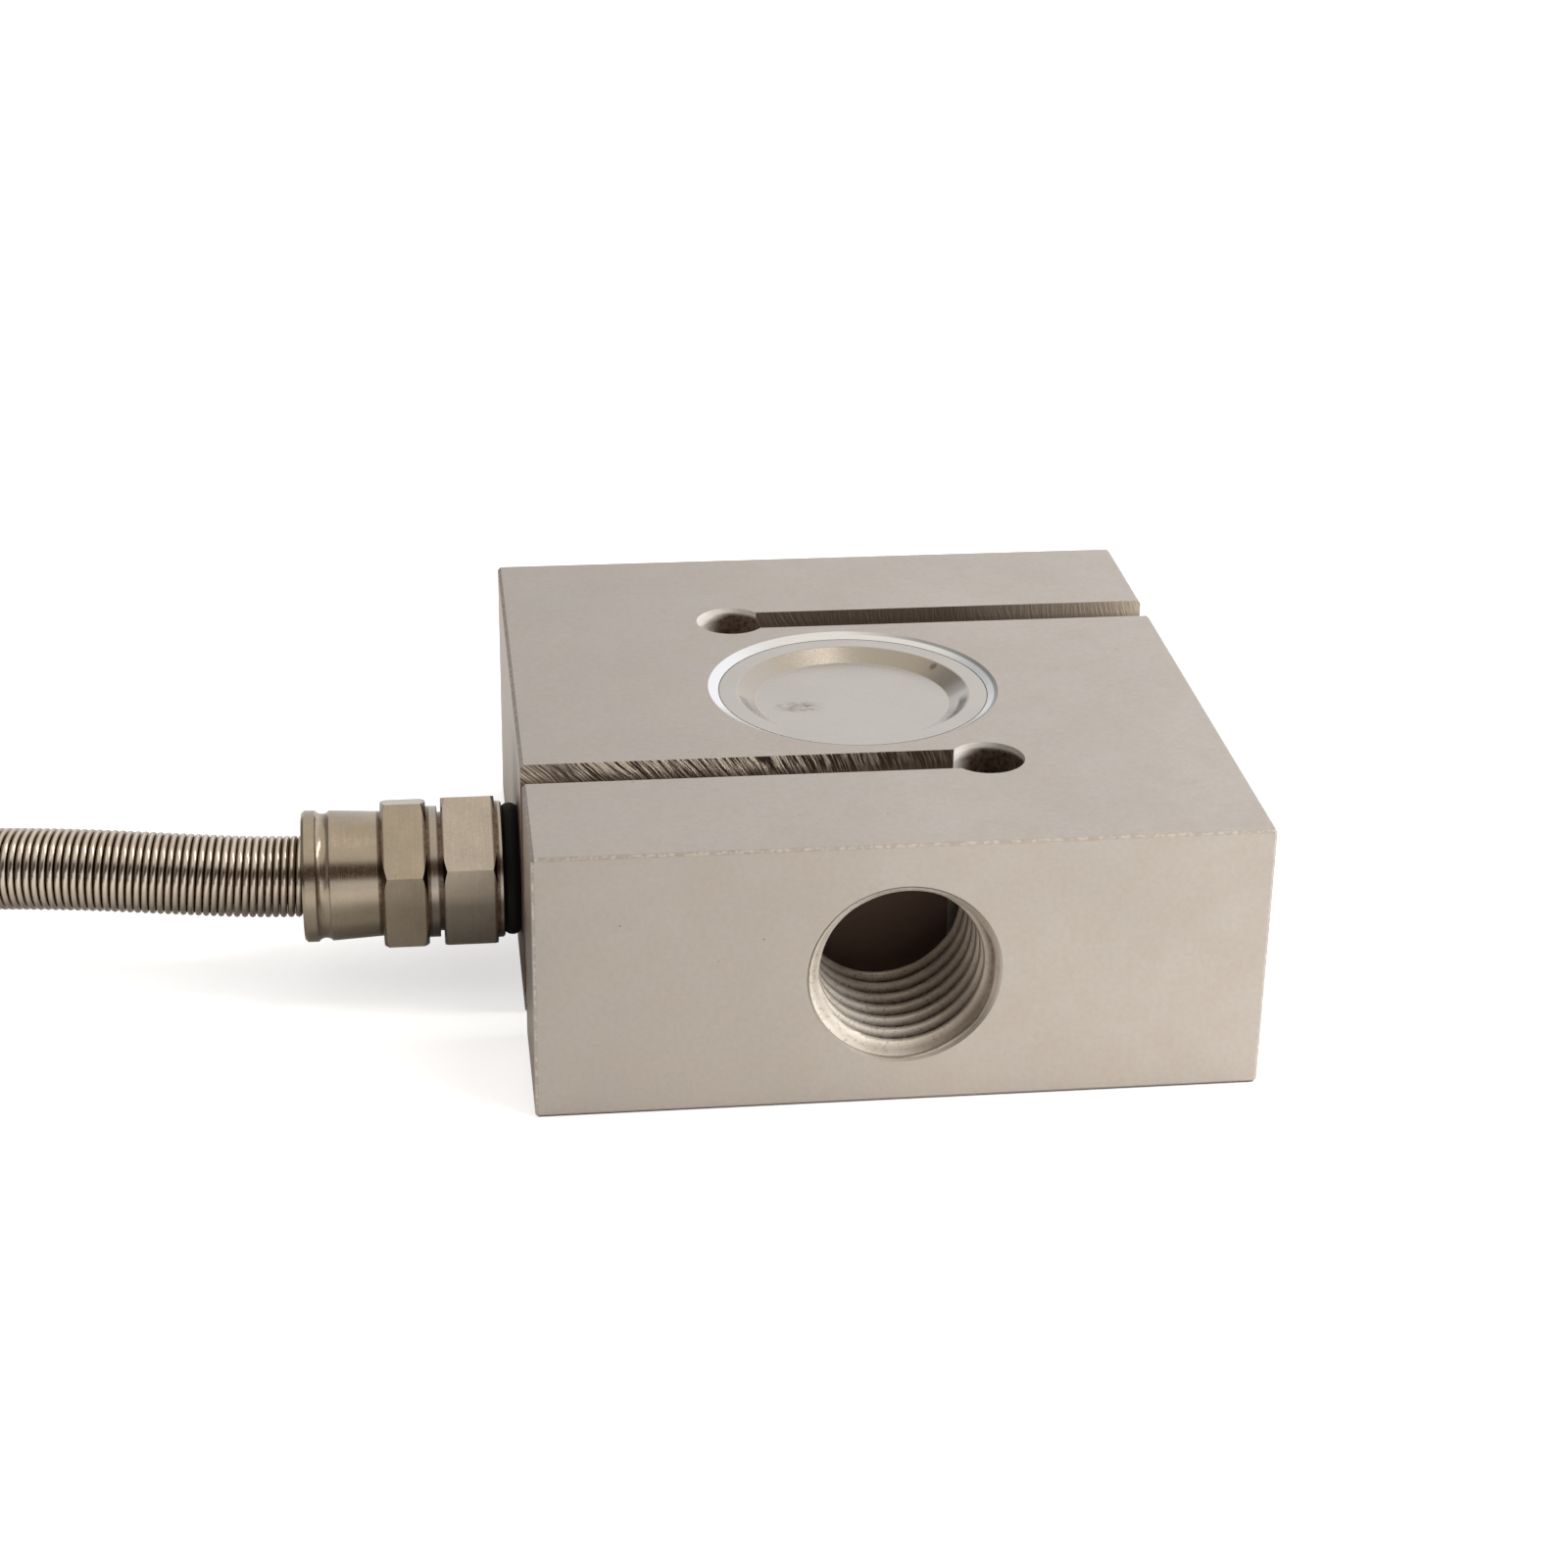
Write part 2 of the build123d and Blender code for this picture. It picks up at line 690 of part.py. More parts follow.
# Ties: a band drawn tight round the coil's section, its locking head outside
ties = []
tied_tail = (tail_route[2] + tail_route[3]) / 2 - Vector(coil_centre.X, coil_centre.Y, 0)
tail_tie_angle = degrees(atan2(tied_tail.Y, tied_tail.X))
tied_tail_radius = sqrt(tied_tail.X**2 + tied_tail.Y**2)
for name, angle, holds_tail in (
    ("coil_tie_plain", coil_start_angle + plain_tie_turn, False),
    ("coil_tie_tail", tail_tie_angle, True),
):
    outwards = Vector(cos(radians(angle)), sin(radians(angle)), 0)
    across = Vector(outwards.Y, -outwards.X, 0)
    tie_origin = Vector(coil_centre.X, coil_centre.Y, 0) - across * tie_width / 2
    section = Plane(origin=tie_origin, x_dir=outwards, z_dir=across)
    held = [
        (radius, z, coil_corner + tie_clearance)
        for radius in (coil_inner_turn, coil_outer_turn)
        for z in (layer_zs[0], layer_zs[-1])
    ]
    if holds_tail:
        held.append((tied_tail_radius, tied_tail.Z, cable_radius + tail_tie_clearance))
    band_outside = coil_outer_turn + coil_corner + tie_clearance + tie_thickness
    band_middle = (coil_low + coil_high) / 2
    with BuildPart() as tie:
        with BuildSketch(section):
            with BuildLine():
                for radius, z, around in held:
                    CenterArc((radius, z), around + tie_thickness, 0, 360)
            make_hull()
        extrude(amount=tie_width)
        with BuildSketch(section):
            with BuildLine():
                for radius, z, around in held:
                    CenterArc((radius, z), around, 0, 360)
            make_hull()
        extrude(amount=tie_width, mode=Mode.SUBTRACT)
        with BuildSketch(section.offset((tie_width - tie_head[0]) / 2)):
            with Locations((band_outside + tie_head[2] / 2 - tie_thickness / 2, band_middle)):
                RectangleRounded(tie_head[2] + tie_thickness, tie_head[1], radius=tie_head_round)
        extrude(amount=tie_head[0])
        with BuildSketch(section):
            with Locations((band_outside + tie_head[2] / 2, band_middle + (tie_head[1] + tie_stub) / 2)):
                Rectangle(tie_thickness, tie_stub)
        extrude(amount=tie_width)
    tie.part.label = name
    ties.append(tie.part)

# Shrink sleeve over the cable's end, with a solid nose that the cores come out of
with BuildPart() as end_sleeve:
    with BuildSketch(Plane(origin=tail_end - tail_direction * sleeve_on_cable, z_dir=tail_direction)):
        Circle(cable_radius + slip_clearance + sleeve_thickness)
        Circle(cable_radius + slip_clearance, mode=Mode.SUBTRACT)
    extrude(amount=sleeve_on_cable)
    with BuildSketch(Plane(origin=tail_end, z_dir=tail_direction)):
        Circle(cable_radius + slip_clearance + sleeve_thickness)
    with BuildSketch(Plane(origin=tail_end + tail_direction * sleeve_nose, z_dir=tail_direction)):
        Circle(sleeve_nose_radius)
    loft()
end_sleeve.part.label = "end_sleeve"

# Bare-ended leads: out of the sleeve's nose, down to the coil's top and along it in lanes
nose_end = tail_end + tail_direction * sleeve_nose
lead_names = ["red", "green", "white", "black", "shield"]
lead_angles = [198, 342, 126, 54, 270]
lead_lanes = [2, -2, 1, -1, 0]
side_direction = Vector(-tail_direction.Y, tail_direction.X, 0)
nose_angle = tail_angles[-1] + degrees(sleeve_nose / coil_middle_radius)
lead_step = degrees(lead_run / coil_middle_radius)
leads = []
tips = []
for k in range(len(lead_names)):
    across = lead_ring_radius * cos(radians(lead_angles[k]))
    above = lead_ring_radius * sin(radians(lead_angles[k]))
    lead_start = nose_end + side_direction * across + Vector(0, 0, above)
    lane_radius = lead_lane_middle + lead_lanes[k] * lead_lane_pitch
    lead_points = [lead_start, lead_start + tail_direction * lead_straight]
    for step in lead_steps:
        lead_points.append(
            on_coil(nose_angle + step * lead_step, lane_radius, coil_high + lead_radius)
        )
    with BuildPart() as lead:
        with BuildLine() as lead_path:
            route_line(lead_points)
        with BuildSketch(Plane(origin=lead_start, z_dir=tail_direction)):
            Circle(lead_radius)
        sweep(path=lead_path.line)
    lead.part.label = "lead_" + lead_names[k]
    leads.append(lead.part)
    tips.append((lead_points[-1], run_direction(lead_points, -2)))

with BuildPart() as lead_tips:
    for tip_start, tip_direction in tips:
        with BuildSketch(Plane(origin=tip_start, z_dir=tip_direction)):
            Circle(lead_tip_radius)
        extrude(amount=lead_tip_length)
lead_tips.part.label = "lead_tips"

os.makedirs("parts", exist_ok=True)
for part in (
    [s_beam_body.part] + covers + bonds + gauges + strips
    + [compensation_board.part, compensation_resistors.part] + cores
    + [strip_link_wires.part] + jumper_sets
    + [face_seal.part, gland_body.part, grommet.part, thrust_washer.part, gland_nut.part]
    + [clamped_cable.part, sensor_cable.part, spring_sleeve.part, cable_coil.part] + ties
    + [end_sleeve.part] + leads + [lead_tips.part]
):
    export_step(part, "parts/" + part.label + ".step")
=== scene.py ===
"""Looks of an S-type load cell with a threaded hole through each limb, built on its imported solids."""

import json
from math import atan2, ceil, cos, hypot, pi, radians, sin

import bmesh
import bpy
from bpy.props import FloatProperty, FloatVectorProperty, IntProperty, PointerProperty
from mathutils import Matrix, Vector

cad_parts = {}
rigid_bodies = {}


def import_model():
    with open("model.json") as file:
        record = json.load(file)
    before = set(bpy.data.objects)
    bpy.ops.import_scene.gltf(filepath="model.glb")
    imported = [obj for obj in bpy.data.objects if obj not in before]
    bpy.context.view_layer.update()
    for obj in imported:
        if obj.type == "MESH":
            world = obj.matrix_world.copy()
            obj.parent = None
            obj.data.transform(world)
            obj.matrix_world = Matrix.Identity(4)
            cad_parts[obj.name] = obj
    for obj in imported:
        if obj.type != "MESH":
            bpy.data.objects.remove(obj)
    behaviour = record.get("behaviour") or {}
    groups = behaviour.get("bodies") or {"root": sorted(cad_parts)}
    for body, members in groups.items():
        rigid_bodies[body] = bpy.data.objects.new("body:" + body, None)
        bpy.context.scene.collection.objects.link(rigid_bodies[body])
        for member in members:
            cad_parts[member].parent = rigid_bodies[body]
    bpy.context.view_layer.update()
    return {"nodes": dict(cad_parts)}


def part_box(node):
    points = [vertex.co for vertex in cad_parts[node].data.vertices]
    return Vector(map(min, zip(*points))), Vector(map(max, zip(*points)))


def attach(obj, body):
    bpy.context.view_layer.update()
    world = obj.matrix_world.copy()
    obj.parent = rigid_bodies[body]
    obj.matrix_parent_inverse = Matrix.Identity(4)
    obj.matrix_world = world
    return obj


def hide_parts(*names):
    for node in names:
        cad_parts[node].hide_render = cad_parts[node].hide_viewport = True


bl_info = {
    "name": "S-type load cell",
    "version": (1, 0, 0),
    "blender": (4, 5, 0),
    "location": "3D View > Sidebar > Load cell",
    "description": "Builds the visible pieces and finishes of an S-type load cell and its studio",
    "category": "Object",
}

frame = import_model()

MM = 0.001
UP = Vector((0, 0, 1))

# Places and sizes of the solids, in millimetres: block, slots, cover seats, load axis, cable port and gland
BLOCK_HALF = Vector((30.75, 33.0, 12.0))
SLOT_OFFSET = 16.6
SLOT_WIDTH = 3.9
SEAT_RADIUS = 13.26
DISH_FOOT_RADIUS = 10.0
LOAD_AXIS_HEIGHT = 12.0
PORT = Vector((-30.75, -6.0, 10.0))
EXIT_DISTANCE = 14.9
SPRING_SEAT_DISTANCE = 15.4
GLAND_JOINTS = (2.05, 6.92, 8.1, 12.15)
LOWEST_LAYER_HEIGHT = 4.0

# Route of the free cable after its exit: X, Y and the share of the drop to the coil's lowest layer
ROUTE_AFTER_EXIT = (
    (-52.6, -6.0, 0.0),
    (-60.8, -5.8, -0.11),
    (-69.4, -5.2, -0.2),
    (-78.2, -3.6, -0.15),
    (-87.0, -1.0, 0.1),
    (-95.8, 2.2, 0.48),
    (-104.4, 5.5, 0.84),
    (-112.8, 8.6, 1.0),
)
LAST_RUN = 8.0
LEAD_IN = 20.0

# Loose end of the cable on top of the coil: radii of its points, the angles between them in degrees, how far
# it sinks between the turns that it lies on, and how far its end is lifted
TAIL_RADII = (18.9, 19.4, 21.2, 23.6, 25.0, 25.4)
TAIL_FIRST_STEP = 36.0
TAIL_STEP = 31.0
TAIL_SINK = 0.3
TAIL_END_LIFT = 0.5

# Coil and ties: slack over the turns, turns in which one layer climbs to the next, the ties' clearances,
# and the angle from the coil's start to the plain tie in degrees
COIL_SLACK = 0.25
COIL_RISE_TURNS = 0.3
TIE_CLEARANCE = 0.15
TAIL_TIE_CLEARANCE = 0.6
PLAIN_TIE_TURN = 57.0

# Shrink sleeve and the bare-ended leads that come out of its nose
SLEEVE_ON_CABLE = 7.0
SLEEVE_NOSE = 5.0
LEAD_RING_RADIUS = 1.3
LEAD_LANE_PITCH = 1.9
LEAD_LANE_MIDDLE = 28.0
LEAD_RUN = 11.0
LEAD_STRAIGHT = 5.5
LEAD_STEPS = (1.6, 2.5, 3.3)
LEAD_TIP_LENGTH = 5.0

# Each lead: name, angle on the nose in degrees, lane on the coil, record slot and colour
LEADS = (
    ("red", 198.0, 2, "red_insulation", (0.50, 0.025, 0.02)),
    ("green", 342.0, -2, "green_insulation", (0.02, 0.22, 0.06)),
    ("white", 126.0, 1, "white_insulation", (0.72, 0.72, 0.68)),
    ("black", 54.0, -1, "black_insulation", (0.015, 0.015, 0.015)),
    ("shield", 270.0, 0, "shield_sleeving", (0.62, 0.50, 0.07)),
)


# Sizes and finishes that a user may change


class ThreadSizes(bpy.types.PropertyGroup):
    pitch: FloatProperty(
        name="Pitch", description="Distance between neighbouring turns of the load thread",
        default=2.0 * MM, unit="LENGTH",
    )
    major_radius: FloatProperty(
        name="Major radius", description="Radius at the root of the load thread",
        default=8.0 * MM, unit="LENGTH",
    )
    minor_radius: FloatProperty(
        name="Minor radius", description="Radius at the crest of the load thread",
        default=6.93 * MM, unit="LENGTH",
    )
    mouth_radius: FloatProperty(
        name="Mouth radius", description="Radius of the cone at the hole's mouth",
        default=8.25 * MM, unit="LENGTH",
    )
    steps: IntProperty(
        name="Steps a turn", description="Points round one turn of the thread", default=80, min=24,
    )


class CableSizes(bpy.types.PropertyGroup):
    diameter: FloatProperty(
        name="Cable diameter", description="Outside of the cable's jacket",
        default=5.0 * MM, unit="LENGTH",
    )
    length: FloatProperty(
        name="Cable length", description="From the gland to the end of the jacket",
        default=1.945, unit="LENGTH",
    )
    coil_middle: FloatProperty(
        name="Coil radius", description="Radius of the coil's middle turn",
        default=27.5 * MM, unit="LENGTH",
    )
    turn_pitch: FloatProperty(
        name="Turn pitch", description="Distance between turns that lie beside each other",
        default=5.35 * MM, unit="LENGTH",
    )
    layer_rise: FloatProperty(
        name="Layer rise", description="Height from one layer of turns to the next",
        default=5.15 * MM, unit="LENGTH",
    )
    layers: IntProperty(name="Layers", description="Layers of turns in the coil", default=3, min=1)
    layer_turns: FloatProperty(
        name="Turns a layer", description="Turns in one layer of the coil", default=3.5,
    )
    turn_points: IntProperty(
        name="Points a turn", description="Control points round one turn", default=15, min=12,
    )
    lead_radius: FloatProperty(
        name="Lead radius", description="Radius of one insulated core", default=0.55 * MM, unit="LENGTH",
    )
    jacket: FloatVectorProperty(
        name="Jacket", description="Colour of the cable's jacket",
        default=(0.020, 0.020, 0.022), subtype="COLOR", size=3,
    )


class SpringSizes(bpy.types.PropertyGroup):
    wire: FloatProperty(
        name="Wire diameter", description="Diameter of the spring's wire", default=0.66 * MM, unit="LENGTH",
    )
    outside: FloatProperty(
        name="Outside radius", description="Outside radius of the spring sleeve",
        default=3.65 * MM, unit="LENGTH",
    )
    pitch: FloatProperty(
        name="Turn pitch", description="Distance from one wire turn to the next",
        default=0.66 * MM, unit="LENGTH",
    )
    steps: IntProperty(name="Steps a turn", description="Points round one wire turn", default=30, min=12)
    sides: IntProperty(name="Wire sides", description="Sides of the wire's section", default=8, min=6)


class TieSizes(bpy.types.PropertyGroup):
    thickness: FloatProperty(
        name="Strap thickness", description="Thickness of the tie's strap", default=1.1 * MM, unit="LENGTH",
    )
    width: FloatProperty(
        name="Strap width", description="Width of the tie's strap", default=3.6 * MM, unit="LENGTH",
    )
    rib_pitch: FloatProperty(
        name="Rib pitch", description="Distance between the strap's ribs", default=1.15 * MM, unit="LENGTH",
    )


class MetalFinish(bpy.types.PropertyGroup):
    plate: FloatVectorProperty(
        name="Plate", description="Colour of the block's matt nickel plate",
        default=(0.545, 0.495, 0.445), subtype="COLOR", size=3,
    )
    gland: FloatVectorProperty(
        name="Gland body", description="Colour of the gland body's nickel plate",
        default=(0.525, 0.455, 0.375), subtype="COLOR", size=3,
    )
    nut: FloatVectorProperty(
        name="Gland nut", description="Colour of the gland nut's nickel plate",
        default=(0.445, 0.375, 0.285), subtype="COLOR", size=3,
    )
    cover: FloatVectorProperty(
        name="Cover", description="Colour of the pressed covers",
        default=(0.56, 0.525, 0.475), subtype="COLOR", size=3,
    )
    grain: FloatProperty(
        name="Grain height", description="Height of the plate's grain", default=0.004 * MM, unit="LENGTH",
    )


class StudioSettings(bpy.types.PropertyGroup):
    camera_place: FloatVectorProperty(
        name="Camera place", description="Where the camera stands",
        default=(-0.03994, -0.26328, 0.13702), subtype="TRANSLATION", size=3,
    )
    lens: FloatProperty(name="Lens", description="Focal length on a 36 mm sensor, in mm", default=73.37)
    key_power: FloatProperty(
        name="Key lamp", description="Power of the soft lamp at the front right",
        default=1.95, unit="POWER",
    )
    strip_power: FloatProperty(
        name="Strip lamp", description="Power of the long narrow lamp overhead", default=0.80, unit="POWER",
    )
    room: FloatProperty(name="Room light", description="Strength of the pale room's light", default=1.0)


# Geometry


def cord_route():
    """Control points of the cable from the gland to the start of its coil, in millimetres."""
    start = PORT - Vector((EXIT_DISTANCE, 0, 0))
    route = [start]
    for x, y, drop in ROUTE_AFTER_EXIT:
        route.append(Vector((x, y, PORT.z + drop * (LOWEST_LAYER_HEIGHT - PORT.z))))
    last = route[-1] - route[-2]
    heading = Vector((last.x, last.y, 0)).normalized()
    route.append(route[-1] + heading * LAST_RUN)
    return route, heading


class Coil:
    """The put-away coil: its centre, the turns' control points and the loose end on top."""

    def __init__(self, sizes):
        self.radius = sizes.diameter / MM / 2
        self.pitch = sizes.turn_pitch / MM
        self.rise = sizes.layer_rise / MM
        self.middle = sizes.coil_middle / MM
        self.layers = sizes.layers
        self.turns = sizes.layer_turns
        self.points_a_turn = sizes.turn_points
        route, heading = cord_route()
        inward = Vector((-heading.y, heading.x, 0))
        self.spiral_turns = self.turns - COIL_RISE_TURNS
        self.half_width = self.pitch * self.spiral_turns / 2
        self.start = route[-1] + heading * LEAD_IN
        self.centre = self.start + inward * (self.middle + self.half_width)
        self.start_angle = atan2(-inward.y, -inward.x)
        self.low = route[-1].z
        self.top_layer = self.low + self.rise * (self.layers - 1)
        self.top = self.top_layer + self.radius + COIL_SLACK
        self.cable = route + [self.start] + self.turn_points() + self.tail_points()

    def at(self, angle, radius, height):
        return Vector((
            self.centre.x + radius * cos(angle), self.centre.y + radius * sin(angle), height,
        ))

    def turn_points(self):
        """Control points of all the turns, pushed out because a smooth spline runs inside its points."""
        push = 1 / (0.75 + 0.25 * cos(2 * pi / self.points_a_turn))
        last_point = self.layers * self.turns - TAIL_FIRST_STEP / 360
        points = []
        for k in range(1, round(last_point * self.points_a_turn)):
            turn = k / self.points_a_turn
            layer = min(int(turn / self.turns), self.layers - 1)
            done = turn - layer * self.turns
            way = 1 if layer % 2 == 0 else -1
            radius = self.middle + way * (self.half_width - self.pitch * min(done, self.spiral_turns))
            height = self.low + self.rise * layer
            if done > self.spiral_turns and layer < self.layers - 1:
                share = (done - self.spiral_turns) / COIL_RISE_TURNS
                height += self.rise * share * share * (3 - 2 * share)
            points.append(self.at(self.start_angle + 2 * pi * turn, radius * push, height))
        return points

    def tail_angles(self):
        first = self.start_angle + 2 * pi * self.layers * self.turns - radians(TAIL_FIRST_STEP)
        angles = [first, first + radians(TAIL_FIRST_STEP)]
        while len(angles) < len(TAIL_RADII):
            angles.append(angles[-1] + radians(TAIL_STEP))
        return angles

    def tail_points(self):
        lying = self.top + self.radius - TAIL_SINK
        end = self.top + self.radius + TAIL_END_LIFT
        heights = (self.top_layer, lying, lying, lying, end, end)
        return [self.at(*place) for place in zip(self.tail_angles(), TAIL_RADII, heights)]


def new_piece(name, data):
    piece = bpy.data.objects.new(name, data)
    bpy.context.scene.collection.objects.link(piece)
    return piece


def smooth_curve(name, points, radius, bevel_steps=6, spline_steps=6):
    """Curve of one smooth spline through the room of its control points, in millimetres."""
    data = bpy.data.curves.new(name, "CURVE")
    data.dimensions = "3D"
    spline = data.splines.new("NURBS")
    spline.points.add(len(points) - 1)
    for control, place in zip(spline.points, points):
        control.co = (*(place * MM), 1)
    spline.order_u = 3
    spline.use_endpoint_u = True
    spline.resolution_u = spline_steps
    data.bevel_depth = radius * MM
    data.bevel_resolution = bevel_steps
    data.use_fill_caps = True
    return new_piece(name, data)


def spline_line(points):
    """The smooth line of a route's control points, read from a curve with no bevel, in millimetres."""
    probe = smooth_curve("route_probe", points, radius=0, bevel_steps=0, spline_steps=16)
    line_mesh = bpy.data.meshes.new_from_object(probe)
    line = [vertex.co / MM for vertex in line_mesh.vertices]
    curve = probe.data
    bpy.data.objects.remove(probe)
    bpy.data.curves.remove(curve)
    bpy.data.meshes.remove(line_mesh)
    return line


class Line:
    """A polyline that can be asked for the place and the cross directions at a distance along it."""

    def __init__(self, points):
        self.points = points
        self.marks = [0.0]
        for before, here in zip(points, points[1:]):
            self.marks.append(self.marks[-1] + (here - before).length)
        self.length = self.marks[-1]
        self.sides = []
        side = self.direction(0).cross(UP).normalized()
        for k in range(len(points)):
            along = self.direction(k)
            side = (side - along * side.dot(along)).normalized()
            self.sides.append(side)

    def direction(self, k):
        before = self.points[max(k - 1, 0)]
        after = self.points[min(k + 1, len(self.points) - 1)]
        return (after - before).normalized()

    def place(self, distance):
        """Point, direction, side and up at a distance from the line's start."""
        low, high = 0, len(self.marks) - 1
        while high - low > 1:
            middle = (low + high) // 2
            if self.marks[middle] <= distance:
                low = middle
            else:
                high = middle
        share = (distance - self.marks[low]) / (self.marks[high] - self.marks[low])
        point = self.points[low].lerp(self.points[high], share)
        along = self.direction(low).lerp(self.direction(high), share).normalized()
        side = self.sides[low].lerp(self.sides[high], share)
        side = (side - along * side.dot(along)).normalized()
        return point, along, side, side.cross(along)


def mesh_piece(name, vertices, faces, smooth_angle=35.0):
    """Mesh object from points in millimetres, with its normals outwards and only sharp edges left sharp."""
    data = bpy.data.meshes.new(name)
    data.from_pydata([vertex * MM for vertex in vertices], [], faces)
    form = bmesh.new()
    form.from_mesh(data)
    bmesh.ops.recalc_face_normals(form, faces=form.faces)
    for face in form.faces:
        face.smooth = True
    for edge in form.edges:
        if len(edge.link_faces) == 2:
            edge.smooth = edge.calc_face_angle(0) < radians(smooth_angle)
    form.to_mesh(data)
    form.free()
    return new_piece(name, data)


def joined_rings(rings, closed=False):
    """Vertices and faces of a skin over equal rings of points, capped at both ends unless closed."""
    sides = len(rings[0])
    vertices = [point for ring in rings for point in ring]
    faces = []
    for k in range(len(rings) if closed else len(rings) - 1):
        here = k * sides
        after = ((k + 1) % len(rings)) * sides
        for n in range(sides):
            m = (n + 1) % sides
            faces.append((here + n, here + m, after + m, after + n))
    if not closed:
        faces.append(tuple(range(sides))[::-1])
        faces.append(tuple(range(len(vertices) - sides, len(vertices))))
    return vertices, faces


def add_form(vertices, faces, form):
    """Adds the vertices and faces of another form to lists of them."""
    shift = len(vertices)
    vertices.extend(form[0])
    faces.extend(tuple(index + shift for index in face) for face in form[1])


def ring_round(point, side, up, radius, sides):
    angles = [2 * pi * n / sides for n in range(sides)]
    return [point + side * (radius * cos(angle)) + up * (radius * sin(angle)) for angle in angles]


def give_finish(piece, finish):
    piece.data.materials.clear()
    piece.data.materials.append(finish)


def settle(piece, slot_name, finish, *replaced):
    """Lets a piece ride on the block, with its finish and the solids it stands for; its record slot is not
    used.
    """
    give_finish(piece, finish)
    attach(piece, "root")
    if replaced:
        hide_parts(*replaced)


def dress_solids(finish, *node_names):
    """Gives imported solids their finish."""
    for name in node_names:
        give_finish(frame["nodes"][name], finish)


# Finishes


class Nodes:
    """Short ways to add nodes to the tree of a material or of the room."""

    def __init__(self, tree):
        self.tree = tree
        tree.nodes.clear()

    def add(self, kind, inputs=None, **settings):
        """New node with its settings, and its inputs fed by their names or numbers."""
        node = self.tree.nodes.new("ShaderNode" + kind)
        for key, value in settings.items():
            setattr(node, key, value)
        for key, value in (inputs or {}).items():
            self.feed(node.inputs[key], value)
        return node

    def feed(self, socket, value):
        """Links an output to a socket, or puts a constant on it."""
        if isinstance(value, bpy.types.NodeSocket):
            self.tree.links.new(value, socket)
        elif socket.type == "RGBA":
            socket.default_value = (*value, 1.0)
        else:
            socket.default_value = value

    def math(self, operation, first, second=0.0, clamp=False):
        return self.add("Math", {0: first, 1: second}, operation=operation, use_clamp=clamp).outputs[0]

    def plus(self, first, second):
        return self.math("ADD", first, second)

    def minus(self, first, second):
        return self.math("SUBTRACT", first, second)

    def times(self, product, *others):
        for other in others:
            product = self.math("MULTIPLY", product, other)
        return product

    def most(self, first, second):
        return self.math("MAXIMUM", first, second)

    def least(self, first, second):
        return self.math("MINIMUM", first, second)

    def less(self, first, second):
        return self.math("LESS_THAN", first, second)

    def more(self, first, second):
        return self.math("GREATER_THAN", first, second)

    def absolute(self, value):
        return self.math("ABSOLUTE", value)

    def squares(self, first, second):
        return self.plus(self.times(first, first), self.times(second, second))

    def distance(self, first, second):
        return self.math("SQRT", self.squares(first, second))

    def apart(self, place, other):
        """Distance of a place from another one that is given in millimetres."""
        return self.absolute(self.minus(place, other * MM))

    def ramp(self, value, low, high, from_value=0.0, to_value=1.0, **settings):
        """Value between two limits, mapped to another range and held inside it."""
        inputs = {
            "Value": value, "From Min": low, "From Max": high, "To Min": from_value, "To Max": to_value,
        }
        return self.add("MapRange", inputs, clamp=True, **settings).outputs["Result"]

    def span(self, place, low, high, *values):
        """Ramp of a place between two limits in millimetres."""
        return self.ramp(place, low * MM, high * MM, *values)

    def spread(self, noise, *values):
        """Ramp over the middle of a noise, where most of it lies."""
        return self.ramp(noise, 0.3, 0.7, *values)

    def blend(self, share, first, second):
        """Colour between two others, by a share from 0 to 1."""
        return self.add("Mix", {"Factor": share, 6: first, 7: second}, data_type="RGBA").outputs[2]

    def either(self, share, first, second):
        """Number between two others, by a share from 0 to 1."""
        return self.add("Mix", {0: share, 2: first, 3: second}, data_type="FLOAT").outputs[0]

    def tint(self, colour, factor):
        """Colour made lighter or darker by a factor."""
        return self.add("VectorMath", {0: colour, "Scale": factor}, operation="SCALE").outputs[0]

    def uneven(self, colour, share, part):
        """Colour from a part darker to a part lighter, as the share goes from 0 to 1."""
        return self.blend(share, self.tint(colour, 1 - part), self.tint(colour, 1 + part))

    def axes(self, vector):
        return self.add("SeparateXYZ", {0: vector}).outputs


class Finish(Nodes):
    """Node tree of one material, with its place and normal and the textures of these finishes."""

    def __init__(self, name):
        self.material = bpy.data.materials.new(name)
        self.material.use_nodes = True
        super().__init__(self.material.node_tree)
        self.shader = self.add("BsdfPrincipled")
        self.add("OutputMaterial", {"Surface": self.shader.outputs[0]})
        coordinates = self.add("TexCoord").outputs
        self.place = coordinates["Object"]
        self.x, self.y, self.z = self.axes(self.place)
        self.normal_x, self.normal_y, self.normal_z = self.axes(coordinates["Normal"])

    def set(self, **values):
        """Sets the shader's own sockets by name, with underscores for spaces."""
        for key, value in values.items():
            self.feed(self.shader.inputs[key.replace("_", " ")], value)

    def noise(self, size, detail=2.0, rough=0.5, place=None):
        """Noise whose features are about the given size in millimetres."""
        inputs = {
            "Vector": place or self.place, "Scale": 1 / (size * MM), "Detail": detail, "Roughness": rough,
        }
        return self.add("TexNoise", inputs).outputs["Fac"]

    def cells(self, size):
        inputs = {"Vector": self.place, "Scale": 1 / (size * MM)}
        return self.add("TexVoronoi", inputs).outputs["Distance"]

    def stretched(self, scales, turn=(0.0, 0.0, 0.0)):
        """Place turned and then stretched, for marks with a direction."""
        inputs = {"Vector": self.place, "Rotation": turn, "Scale": scales}
        return self.add("Mapping", inputs, vector_type="POINT").outputs[0]

    def bump(self, height, depth, strength=1.0, before=None):
        """Bump of a height from 0 to 1 that stands for a depth in millimetres."""
        inputs = {"Strength": strength, "Distance": depth * MM, "Height": height}
        if before is not None:
            inputs["Normal"] = before
        return self.add("Bump", inputs).outputs[0]


